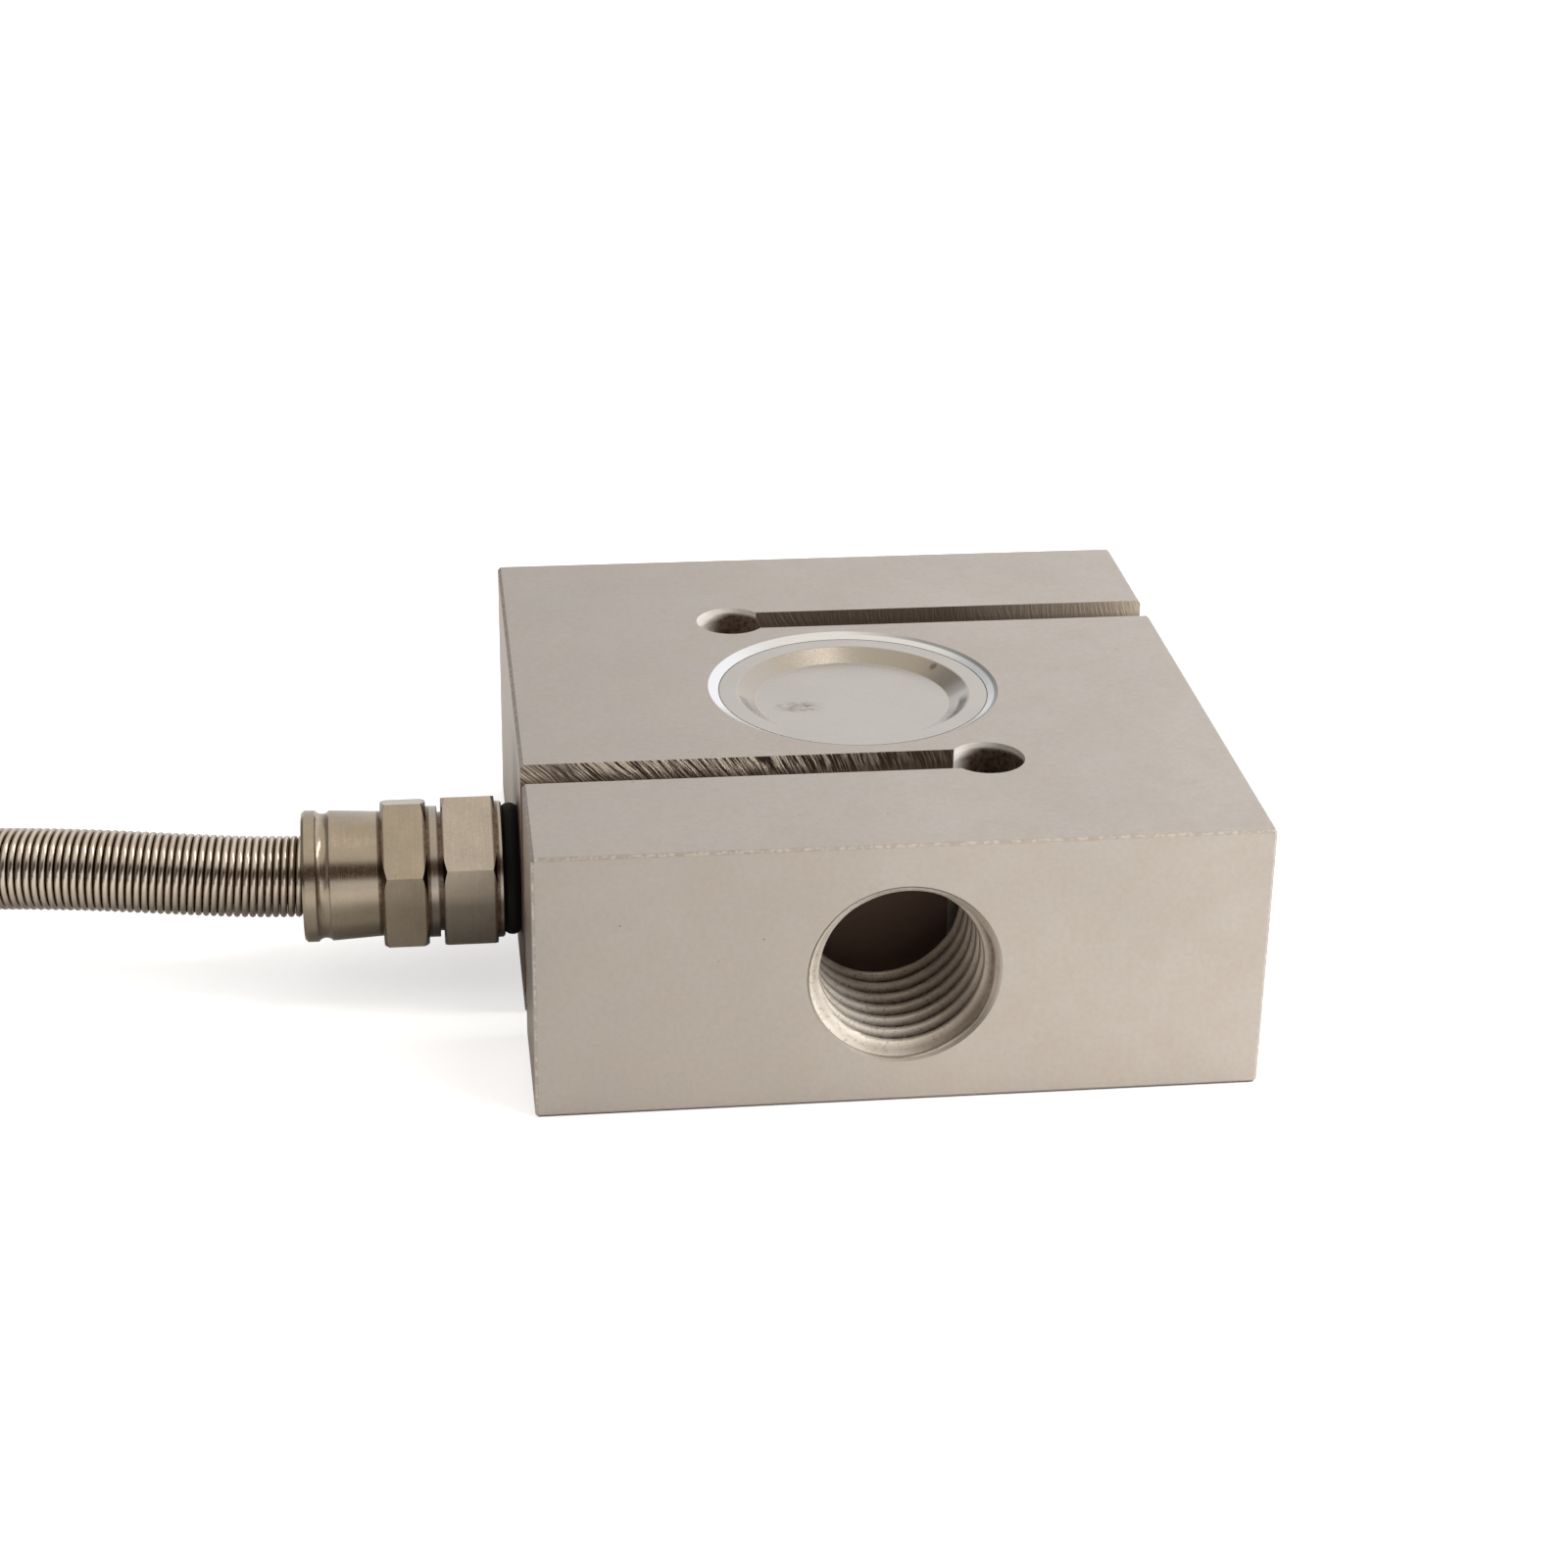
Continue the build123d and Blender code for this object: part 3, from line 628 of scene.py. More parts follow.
def shade(colour, factor):
    return tuple(min(channel * factor, 1.0) for channel in colour)


# Colours on the block: pits, worn edges with a painted highlight, a darker foot, painted shade round the
# cable port, slot walls with painted light and shade, seat cones with the rim's shadow, and drilled holes
# with painted light and shade
PIT = (0.16, 0.12, 0.09)
BARE_STEEL_AND_HIGHLIGHT = (0.92, 0.83, 0.77)
DARK_FOOT = (0.15, 0.12, 0.10)
PORT_SHADE = (0.16, 0.12, 0.10)
SAW_SCRATCH_SHADE = (0.058, 0.030, 0.018)
SAW_RIDGE_LIGHT = (0.96, 0.83, 0.67)
SLOT_DEPTH_SHADE = (0.20, 0.125, 0.09)
SEAT = (0.89, 0.89, 0.89)
SEAT_RIM = (0.20, 0.20, 0.19)
DRILLED_LIT = ((0.88, 0.82, 0.74), (1.0, 0.98, 0.94))
DRILLED_SHADE = ((0.07, 0.045, 0.033), (0.24, 0.165, 0.12))


def plate_colour(f, plate, patch):
    """Plate with painted light, lighter to the right and towards the floor, the front face darker to the
    left; warm in patches and flecked.
    """
    # Painted light: the plate gets lighter to the right, with a slow random drift of tone
    painted_light_and_tone = f.span(f.x, -BLOCK_HALF.x, BLOCK_HALF.x, 0.0, 0.75)
    painted_light_and_tone = f.plus(painted_light_and_tone, f.spread(f.noise(16.0, 3.0, 0.55), -0.12, 0.37))
    colour = f.blend(painted_light_and_tone, shade(plate, 0.92), shade(plate, 1.08))
    warm = (plate[0] * 1.03, plate[1] * 0.985, plate[2] * 0.95)
    colour = f.blend(f.ramp(patch, 0.35, 0.7, 0.0, 0.5), colour, warm)
    colour = f.uneven(colour, f.ramp(f.noise(0.55, 3.0, 0.65), 0.25, 0.75), 0.05)
    # Painted light: the block is made lighter towards the floor
    colour = f.tint(colour, f.span(f.z, 18.0, 1.0, 1.0, 1.11))
    # Painted shade: the front face is made darker towards the left
    in_front = f.less(f.normal_y, -0.7)
    return f.tint(colour, f.either(in_front, 1.0, f.span(f.x, -BLOCK_HALF.x, 5.0, 0.89, 1.0)))


def worn_edges_and_highlight(f, gaps):
    """Broken line along the block's edges, by how far a place is inside each pair of faces: worn bare steel,
    also a painted highlight.
    """
    pairs = [f.most(gaps[k], gaps[k - 1]) for k in range(3)]
    nearest = f.least(f.least(pairs[0], pairs[1]), pairs[2])
    return f.times(f.span(nearest, 0.30, 0.20), f.ramp(f.noise(0.5, 3.0, 0.7), 0.46, 0.58))


def saw_marks(f, depth):
    """Slot walls: where they are, their colour with painted light and shade, and the height of the saw's
    slanting marks.
    """
    wall = f.apart(f.apart(f.absolute(f.y), SLOT_OFFSET), SLOT_WIDTH / 2)
    in_slot = f.times(f.less(wall, 0.03 * MM), f.more(f.absolute(f.normal_y), 0.7))
    slant = f.span(f.x, -28.0, 6.0, 1.15, 0.18)
    across = f.plus(f.x, f.times(slant, f.minus(f.z, 2 * BLOCK_HALF.z * MM)))
    across = f.plus(across, f.spread(f.noise(5.0, 1.0), -0.3 * MM, 0.3 * MM))
    stroke = f.add("CombineXYZ", {0: across, 1: f.y, 2: f.times(f.z, 0.12)}).outputs[0]
    marks = f.noise(0.30, 1.0, 0.5, place=stroke)
    fine_marks = f.noise(0.13, 2.0, 0.6, place=stroke)
    cut = f.plus(f.times(marks, 0.65), f.times(fine_marks, 0.35))
    back = f.span(f.y, -1.0, 1.0)
    strong = f.times(f.span(f.x, -30.0, -20.0, 0.55, 1.0), f.span(f.x, -11.0, 3.0, 1.0, 0.12))
    strong = f.times(strong, f.either(back, 1.0, 0.05))
    # Painted light: where the marks are faint the wall is lighter towards its left end, and in the back slot
    # towards its right end
    plain = f.span(f.x, -22.0, -30.0, 0.03, 0.40)
    plain = f.plus(plain, f.times(back, f.span(f.x, 12.0, 30.0, 0.07, 0.50)))
    # Painted light and shade: the marks' ridges are painted lit and their scratches shaded
    streak = f.either(strong, plain, f.ramp(cut, 0.440, 0.590))
    # Painted shade: the slot walls darken deeper into the slot
    painted_depth_shade = f.span(depth, 1.1, 2.1)
    colour = f.blend(painted_depth_shade, f.blend(streak, SAW_SCRATCH_SHADE, SAW_RIDGE_LIGHT), SLOT_DEPTH_SHADE)
    marked = f.times(in_slot, f.times(f.ramp(strong, 0.0, 0.6, 0.3, 1.0), f.minus(1.0, painted_depth_shade)))
    return in_slot, colour, f.times(cut, marked)


def plated_block_finish(metal):
    """Matt nickel plate over ground steel, with saw marks in the slots and drilled reliefs."""
    f = Finish("matt_nickel_plate")
    gaps = [
        f.minus(BLOCK_HALF.x * MM, f.absolute(f.x)),
        f.minus(BLOCK_HALF.y * MM, f.absolute(f.y)),
        f.minus(BLOCK_HALF.z * MM, f.apart(f.z, BLOCK_HALF.z)),
    ]
    patch = f.noise(3.2, 4.0, 0.6)
    grain = f.noise(0.16, 2.0, 0.6)
    brushed = f.noise(0.35, 3.0, 0.6, place=f.stretched((0.10, 1.0, 1.0)))
    pit = f.times(f.ramp(f.cells(2.6), 0.05, 0.025), f.ramp(f.noise(7.0, 1.0), 0.60, 0.66))
    colour = plate_colour(f, metal.plate, patch)
    colour = f.blend(f.times(pit, 0.55), colour, PIT)
    # Worn edges in bright bare steel, which also paint the edges' highlight
    colour = f.blend(f.times(worn_edges_and_highlight(f, gaps), 0.45), colour, BARE_STEEL_AND_HIGHLIGHT)
    # Darker along the lowest few tenths of a millimetre, where the block stands on the floor
    colour = f.blend(f.times(f.span(f.z, 0.42, 0.22), 0.75), colour, DARK_FOOT)

    # Painted shade: a dark patch round the cable port, where the face would mirror the dark gland and its
    # shadow
    from_port = f.distance(f.minus(f.y, PORT.y * MM), f.minus(f.z, PORT.z * MM))
    on_port_face = f.less(f.x, (0.25 - BLOCK_HALF.x) * MM)
    painted_port_shade = f.times(f.span(from_port, 12.5, 6.5), on_port_face, f.spread(patch, 0.55, 0.85))
    colour = f.blend(painted_port_shade, colour, PORT_SHADE)

    in_slot, slot_colour, saw_relief = saw_marks(f, gaps[2])
    colour = f.blend(in_slot, colour, slot_colour)

    # Seat cones are turned bright, with the rim's shadow at the right
    from_middle = f.distance(f.x, f.y)
    slope = f.absolute(f.normal_z)
    in_seat = f.times(f.less(from_middle, SEAT_RADIUS * MM), f.less(slope, 0.97))
    rim = f.times(f.span(from_middle, 12.70, 12.82), f.span(f.x, 1.0, 8.0))
    colour = f.blend(in_seat, colour, f.blend(f.times(rim, 0.75), SEAT, SEAT_RIM))

    # Reliefs and bores are left as drilled, with painted light near their mouths and on walls that face
    # right, and painted shade deeper in and on walls that face left
    inner = f.times(f.less(slope, 0.2), f.more(gaps[0], 0.4 * MM), f.more(gaps[1], 0.4 * MM))
    drilled = f.most(f.minus(f.minus(inner, in_slot), in_seat), 0.0)
    rings = f.noise(0.4, 3.0, 0.6, place=f.stretched((0.2, 0.2, 1.0)))
    dark_side = f.ramp(f.normal_x, 0.75, -0.05, -0.70, 0.45)
    painted_drill_shade = f.math("ADD", f.span(gaps[2], 0.25, 1.3), dark_side, clamp=True)
    painted_drill_shade = f.times(painted_drill_shade, f.span(gaps[2], 0.40, 0.62))
    shaded_drilled = f.blend(f.ramp(f.noise(0.35, 3.0, 0.65), 0.35, 0.65), *DRILLED_SHADE)
    lit_drilled = f.blend(f.ramp(rings, 0.35, 0.65), *DRILLED_LIT)
    colour = f.blend(drilled, colour, f.blend(painted_drill_shade, lit_drilled, shaded_drilled))

    rough = f.plus(f.ramp(grain, 0.2, 0.8, 0.37, 0.47), f.spread(patch, -0.03, 0.03))
    rough = f.either(in_seat, rough, f.spread(brushed, 0.14, 0.24))
    rough = f.either(drilled, rough, f.spread(rings, 0.34, 0.52))
    rough = f.either(in_slot, rough, 0.50)
    metallic = f.minus(1.0, f.times(in_slot, 0.70))
    metallic = f.minus(metallic, f.times(drilled, f.either(painted_drill_shade, 0.85, 0.40)))
    normal = f.bump(grain, metal.grain / MM, 0.5)
    normal = f.bump(brushed, 0.003, 0.35, normal)
    normal = f.bump(f.minus(1.0, pit), 0.03, 0.8, normal)
    normal = f.bump(saw_relief, 0.40, 0.9, normal)
    f.set(Metallic=metallic, Base_Color=colour, Roughness=rough, Normal=normal)
    return f.material


# Colours of the thread: its crests with a painted highlight, their stains, and painted shade on their right
# side and in the grooves
CREST_AND_HIGHLIGHT = ((0.84, 0.76, 0.65), (1.0, 0.93, 0.83))
CREST_STAIN = (0.25, 0.18, 0.13)
CREST_IN_SHADE = (0.36, 0.28, 0.22)
GROOVE_SHADE = (0.085, 0.055, 0.038)


def thread_finish(thread):
    """Cut thread: bright crests with a painted highlight, and painted shade in the grooves."""
    f = Finish("cut_thread_metal")
    marks = f.noise(0.45, 3.0, 0.55)
    # Bright crests, partly a painted highlight
    colour = f.blend(f.spread(f.noise(3.0, 2.0)), *CREST_AND_HIGHLIGHT)
    colour = f.blend(f.ramp(f.noise(0.30, 3.0, 0.7), 0.55, 0.72, 0.0, 0.6), colour, CREST_STAIN)
    colour = f.blend(f.span(f.x, 0.0, 6.0, 0.0, 0.72), colour, CREST_IN_SHADE)
    radius = f.distance(f.x, f.minus(f.z, LOAD_AXIS_HEIGHT * MM))
    # Painted shade: the grooves darken inside the bore, away from its mouths
    groove = f.ramp(radius, thread.minor_radius + 0.22 * MM, thread.major_radius - 0.42 * MM)
    groove = f.times(groove, f.ramp(marks, 0.25, 0.6, 0.75, 1.0))
    groove = f.times(groove, f.span(f.absolute(f.y), BLOCK_HALF.y - 0.4, BLOCK_HALF.y - 1.6))
    colour = f.blend(groove, colour, GROOVE_SHADE)
    f.set(Metallic=0.50, Base_Color=colour, Roughness=f.spread(marks, 0.32, 0.52))
    f.set(Normal=f.bump(marks, 0.03, 0.5))
    return f.material


# Colours of the covers: smudge, painted reflection on the slope from left to right, its pale arc of painted
# highlight, smears and a rust spot
SMUDGE = (0.20, 0.17, 0.13)
SLOPE_REFLECTION = ((0.485, 0.43, 0.365), (0.41, 0.35, 0.29))
PALE_ARC_HIGHLIGHT = (0.88, 0.86, 0.83)
SMEAR = (0.10, 0.09, 0.08)
RUST_SPOT = (0.12, 0.07, 0.04)


def slope_smears(f, smear):
    """Two dark smears at the foot of a cover's slope, at the right and at the left of its near side."""
    around = f.math("ARCTAN2", f.y, f.x)
    right = f.times(f.ramp(around, radians(-46.0), radians(-38.0)), f.ramp(around, -0.10, -0.24))
    left = f.times(f.ramp(around, radians(-148.0), radians(-156.0)), f.less(f.y, 0.0))
    smears = f.times(f.most(right, left), f.ramp(smear, 0.30, 0.55, 0.5, 1.0))
    return f.times(smears, f.span(f.apart(f.distance(f.x, f.y), DISH_FOOT_RADIUS), 0.50, 0.25))


def cover_finish(metal):
    """Pressed sheet with a satin face, rolling lines, a faint smudge on the dish's floor, and a painted
    reflection on its slope.
    """
    f = Finish("pressed_cover_metal")
    lines = f.noise(0.12, 2.0, 0.6, place=f.stretched((0.05, 1.0, 1.0), turn=(0.0, 0.0, radians(12.0))))
    smear = f.noise(0.5, 3.0, 0.65, place=f.stretched((0.5, 1.0, 1.0)))
    colour = f.blend(f.spread(f.noise(6.0, 3.0)), shade(metal.cover, 0.97), shade(metal.cover, 1.03))
    smudge_x = f.math("DIVIDE", f.plus(f.x, 5.0 * MM), 2.0 * MM)
    smudge_y = f.math("DIVIDE", f.plus(f.y, 1.0 * MM), 1.05 * MM)
    smudge = f.times(f.ramp(f.squares(smudge_x, smudge_y), 1.6, 0.1), f.ramp(smear, 0.38, 0.62))
    smudge = f.times(smudge, f.more(f.z, BLOCK_HALF.z * MM))
    colour = f.blend(f.times(smudge, 0.9), colour, SMUDGE)
    # Painted reflection on the slope, lighter to the left and stronger on the far side, with a pale arc of
    # painted highlight
    pale = f.times(f.span(f.x, 2.0, 6.0), f.span(f.y, 2.2, -0.5))
    drawn = f.blend(f.span(f.x, -6.0, 9.0), *SLOPE_REFLECTION)
    drawn = f.blend(pale, drawn, PALE_ARC_HIGHLIGHT)
    drawn = f.blend(f.times(slope_smears(f, smear), 0.8), drawn, SMEAR)
    spot = f.distance(f.minus(f.x, 8.3 * MM), f.minus(f.y, 5.6 * MM))
    drawn = f.blend(f.span(spot, 0.45, 0.22, 0.0, 0.8), drawn, RUST_SPOT)
    painted_slope_share = f.ramp(f.absolute(f.normal_z), 0.97, 0.90)
    painted_slope_share = f.times(painted_slope_share, f.most(pale, f.span(f.y, -4.0, 3.0, 0.30, 0.82)))
    f.set(Metallic=1.0, Base_Color=f.blend(painted_slope_share, colour, drawn), Roughness=f.spread(lines, 0.25, 0.31))
    f.set(Normal=f.bump(lines, 0.001, 0.15))
    return f.material


JOINT_DIRT_AND_SHADE = (0.10, 0.062, 0.042)


def gland_finish(name, plate, underside_shade):
    """Bright nickel over turned brass: turning lines, grime in the joints, and painted shade on the
    chamfers, on the neck and underneath.
    """
    f = Finish(name)
    turning = f.noise(0.10, 2.0, 0.6, place=f.stretched((1.0, 0.03, 0.03)))
    cloud = f.noise(3.0, 4.0, 0.6)
    speck = f.noise(0.30, 3.0, 0.65)
    colour = f.blend(f.spread(cloud), shade(plate, 0.92), shade(plate, 1.06))
    colour = f.uneven(colour, f.ramp(speck, 0.25, 0.75), 0.05)
    colour = f.uneven(colour, f.spread(turning), 0.04)
    # Painted shade: the gland darkens below its axis, by the given share
    colour = f.tint(colour, f.span(f.z, 10.8, 9.6, 1.0, 0.4 + 0.6 * underside_shade))
    colour = f.tint(colour, f.span(f.z, 9.6, 3.6, 1.0, underside_shade))
    outwards = f.minus(PORT.x * MM, f.x)
    # Painted shade: the neck is made darker
    neck = f.times(f.span(outwards, 6.9, 7.2), f.span(outwards, 8.1, 7.9))
    colour = f.tint(colour, f.either(neck, 1.0, 0.84))
    # Painted shade on the slanting chamfers, and dirt in the joints
    slope = f.absolute(f.normal_x)
    dirt_and_chamfer_shade = f.times(f.ramp(slope, 0.15, 0.3), f.ramp(slope, 0.99, 0.95))
    dirt_and_chamfer_shade = f.times(dirt_and_chamfer_shade, f.less(outwards, GLAND_JOINTS[-1] * MM + 0.3 * MM))
    for joint in GLAND_JOINTS:
        dirt_and_chamfer_shade = f.most(dirt_and_chamfer_shade, f.span(f.apart(outwards, joint), 0.36, 0.20))
    dirt_and_chamfer_shade = f.times(dirt_and_chamfer_shade, f.ramp(speck, 0.25, 0.6, 0.7, 0.95))
    rough = f.plus(f.spread(speck, 0.17, 0.25), f.spread(turning, -0.03, 0.05))
    f.set(Metallic=1.0, Base_Color=f.blend(dirt_and_chamfer_shade, colour, JOINT_DIRT_AND_SHADE), Roughness=rough)
    f.set(Normal=f.bump(cloud, 0.01, 0.3, f.bump(turning, 0.004, 0.5)))
    return f.material


SPRING_WIRE = ((0.66, 0.59, 0.495), (0.78, 0.705, 0.605))
SPRING_GAP_SHADE = (0.38, 0.285, 0.21)


def spring_finish():
    """Drawn wire, with painted shade underneath and where neighbouring turns meet."""
    f = Finish("spring_wire_metal")
    drawn = f.noise(0.25, 3.0, 0.6)
    colour = f.blend(f.spread(f.noise(5.0, 2.0)), *SPRING_WIRE)
    # Painted shade underneath, then on the flanks where neighbouring turns meet
    colour = f.tint(colour, f.span(f.z, 11.3, 8.6, 1.0, 0.43))
    colour = f.blend(f.ramp(f.absolute(f.normal_x), 0.35, 0.62), colour, SPRING_GAP_SHADE)
    f.set(Metallic=1.0, Base_Color=colour, Roughness=f.spread(drawn, 0.14, 0.22))
    f.set(Normal=f.bump(drawn, 0.006, 0.4))
    return f.material


def even_finish(name, tones, rough, cloud, skin, relief, **sockets):
    """Even material: its tone drifts with a cloud, and a finer noise sets its shine and its relief."""
    f = Finish(name)
    fine = f.noise(*skin)
    f.set(Base_Color=f.blend(f.spread(f.noise(*cloud)), *tones), Roughness=f.spread(fine, *rough))
    f.set(Normal=f.bump(fine, *relief), **sockets)
    return f.material


def rubber_finish(name, colour, *rough):
    tones = (shade(colour, 0.8), shade(colour, 1.3))
    skin = (0.22, 3.0, 0.6)
    return even_finish(name, tones, rough, (2.5, 2.0), skin, (0.02, 0.4), Specular_IOR_Level=0.25)


def plain_metal_finish(name, colour, *rough):
    tones = (shade(colour, 0.9), shade(colour, 1.08))
    return even_finish(name, tones, rough, (1.5, 2.0), (0.2, 3.0, 0.6), (0.006, 0.4), Metallic=1.0)


def insulation_finish(name, colour):
    tones = (shade(colour, 0.88), shade(colour, 1.08))
    skin = (0.4, 3.0, 0.55)
    return even_finish(name, tones, (0.28, 0.40), skin, skin, (0.01, 0.3))


def nylon_finish():
    tones = ((0.66, 0.65, 0.58), (0.76, 0.75, 0.69))
    glow = {"Subsurface_Weight": 0.15, "Subsurface_Scale": 0.001}
    return even_finish("natural_nylon", tones, (0.34, 0.46), (2.0, 3.0), (0.25, 2.0), (0.01, 0.3), **glow)


def film_finish():
    tones = ((0.42, 0.20, 0.05), (0.60, 0.32, 0.10))
    skin = (1.0, 3.0)
    clear = {"Transmission_Weight": 0.15}
    return even_finish("gauge_film_plastic", tones, (0.22, 0.34), skin, skin, (0.005, 0.3), **clear)


def jacket_finish(cable):
    """Extruded jacket: fine pores, faint scuffs and a soft satin shine."""
    f = Finish("cable_jacket_plastic")
    pores = f.noise(0.30, 3.0, 0.6)
    scuff = f.noise(4.0, 4.0, 0.65)
    tone = f.blend(f.ramp(scuff, 0.45, 0.75), cable.jacket, shade(cable.jacket, 2.0))
    rough = f.plus(f.spread(pores, 0.40, 0.50), f.ramp(scuff, 0.4, 0.7, 0.0, 0.12))
    f.set(Base_Color=tone, Roughness=rough, Specular_IOR_Level=0.45, Normal=f.bump(pores, 0.02, 0.35))
    return f.material


def board_finish():
    """Resin board with the cross weave of its glass cloth."""
    f = Finish("resin_board")
    warp = f.noise(0.3, 1.0, place=f.stretched((1.0, 0.15, 1.0)))
    weft = f.noise(0.3, 1.0, place=f.stretched((0.15, 1.0, 1.0)))
    weave = f.times(warp, weft)
    tone = f.blend(f.ramp(weave, 0.15, 0.35), (0.04, 0.17, 0.07), (0.07, 0.26, 0.12))
    f.set(Base_Color=tone, Roughness=f.ramp(weave, 0.1, 0.4, 0.35, 0.5), Normal=f.bump(weave, 0.01, 0.3))
    return f.material


# Operators, one for each piece or group of like pieces


# Studio, in metres: the floor's colour, its lift for the camera and half its width, then the camera's axes
FLOOR_COLOUR = (0.86, 0.86, 0.86)
FLOOR_LIFT = 0.62
FLOOR_HALF = 1.6
CAMERA_RIGHT = Vector((0.9926, -0.1206, 0.0147))
CAMERA_BACK = Vector((-0.1156, -0.9005, 0.4191))
LAMP_TARGET = Vector((0, 0, 0.012))

# Place, size and colour of each lamp, in metres
KEY_LAMP = ((0.40, -0.20, 0.25), (0.35, 0.35), (1.0, 0.985, 0.965))
STRIP_LAMP = ((0.30, -0.04, 0.45), (0.10, 0.50), (1.0, 0.98, 0.95))

# What the metal mirrors: the room's left and right walls, its ceiling and the dark band low in front
ROOM_LEFT = (0.28, 0.27, 0.26)
ROOM_RIGHT = (1.00, 1.00, 1.02)
ROOM_CEILING = (0.81, 0.775, 0.715)
ROOM_DARK_BAND = (0.095, 0.062, 0.045)
WHITE = (1, 1, 1)


class LOADCELL_OT_stage(bpy.types.Operator):
    """Sets up the pale floor, the soft lamps, the room's light and the camera"""

    bl_idname = "loadcell.stage"
    bl_label = "Stage"

    def execute(self, context):
        studio = context.scene.loadcell_studio
        context.scene.view_settings.view_transform = "Standard"
        self.add_camera(context.scene, studio)
        self.add_floor()
        key = self.add_lamp("key_lamp", studio.key_power, *KEY_LAMP)
        key.visible_glossy = False
        self.add_lamp("strip_lamp", studio.strip_power, *STRIP_LAMP)
        self.add_room(context.scene, studio)
        return {"FINISHED"}

    def add_camera(self, scene, studio):
        data = bpy.data.cameras.new("camera")
        data.lens = studio.lens
        data.sensor_width = 36.0
        data.clip_start = 0.01
        camera = new_piece("camera", data)
        right = CAMERA_RIGHT.normalized()
        backwards = CAMERA_BACK.normalized()
        up = backwards.cross(right).normalized()
        turn = Matrix((up.cross(backwards), up, backwards)).transposed().to_4x4()
        camera.matrix_world = Matrix.Translation(studio.camera_place) @ turn
        scene.camera = camera

    def add_floor(self):
        """Pale floor that shows the object's shadow and is lifted to white for the camera."""
        corners = [Vector((x, y, 0)) * FLOOR_HALF / MM for x, y in ((-1, -1), (1, -1), (1, 1), (-1, 1))]
        floor = mesh_piece("floor", corners, [(0, 1, 2, 3)])
        material = bpy.data.materials.new("pale_floor")
        material.use_nodes = True
        n = Nodes(material.node_tree)
        diffuse = n.add("BsdfDiffuse", {"Color": FLOOR_COLOUR})
        lift = n.times(n.add("LightPath").outputs["Is Camera Ray"], FLOOR_LIFT)
        glow = n.add("Emission", {"Strength": lift})
        both = n.add("AddShader", {0: diffuse.outputs[0], 1: glow.outputs[0]})
        n.add("OutputMaterial", {"Surface": both.outputs[0]})
        give_finish(floor, material)

    def add_lamp(self, name, power, place, size, colour):
        data = bpy.data.lights.new(name, "AREA")
        data.shape = "RECTANGLE"
        data.size, data.size_y = size
        data.energy = power
        data.color = colour
        lamp = new_piece(name, data)
        lamp.location = place
        lamp.rotation_euler = (LAMP_TARGET - Vector(place)).to_track_quat("-Z", "Y").to_euler()
        return lamp

    def add_room(self, scene, studio):
        """Pale room: white for the camera, and softer with a dark low band in front for what it lights."""
        scene.world = bpy.data.worlds.new("studio_room")
        scene.world.use_nodes = True
        n = Nodes(scene.world.node_tree)

        def ease(value, low, high):
            return n.ramp(value, low, high, interpolation_type="SMOOTHSTEP")

        x, y, z = n.axes(n.add("TexCoord").outputs["Generated"])
        walls = n.blend(ease(x, -0.55, 0.30), ROOM_LEFT, ROOM_RIGHT)
        room = n.blend(ease(z, 0.60, 0.85), walls, ROOM_CEILING)
        low_band = n.times(ease(z, 0.20, 0.36), n.minus(1.0, ease(z, 0.64, 0.82)))
        in_front = ease(n.times(y, -1.0), 0.35, 0.70)
        room = n.blend(n.times(low_band, in_front), room, ROOM_DARK_BAND)
        rays = n.add("LightPath").outputs
        seen = n.most(rays["Is Camera Ray"], rays["Is Transmission Ray"])
        lit = n.add("Background", {"Color": room, "Strength": studio.room})
        white = n.add("Background", {"Color": WHITE, "Strength": 1.0})
        shown = n.add("MixShader", {0: seen, 1: lit.outputs[0], 2: white.outputs[0]})
        n.add("OutputWorld", {"Surface": shown.outputs[0]})


class LOADCELL_OT_block(bpy.types.Operator):
    """Finishes the block, its two covers and their bonds"""

    bl_idname = "loadcell.block"
    bl_label = "Block and covers"

    def execute(self, context):
        metal = context.scene.loadcell_metal
        dress_solids(plated_block_finish(metal), "s_beam_body")
        dress_solids(cover_finish(metal), "top_cover", "bottom_cover")
        bond = rubber_finish("cover_bond_adhesive", (0.05, 0.05, 0.05), 0.35, 0.5)
        dress_solids(bond, "top_cover_bond", "bottom_cover_bond")
        return {"FINISHED"}


# Ridge of the load thread: places across half of it, how far its foot and root stand in the solid, the
# rounding of its crest, and its distance from the ends of the bore
RIDGE_MARKS = (0.22, 0.32, 0.44, 0.58, 0.72, 0.86, 1.0)
RIDGE_FOOT_SINK = 0.28
RIDGE_ROOT_SINK = 0.04
RIDGE_ROUNDING = 0.05
RIDGE_END_GAP = 0.03


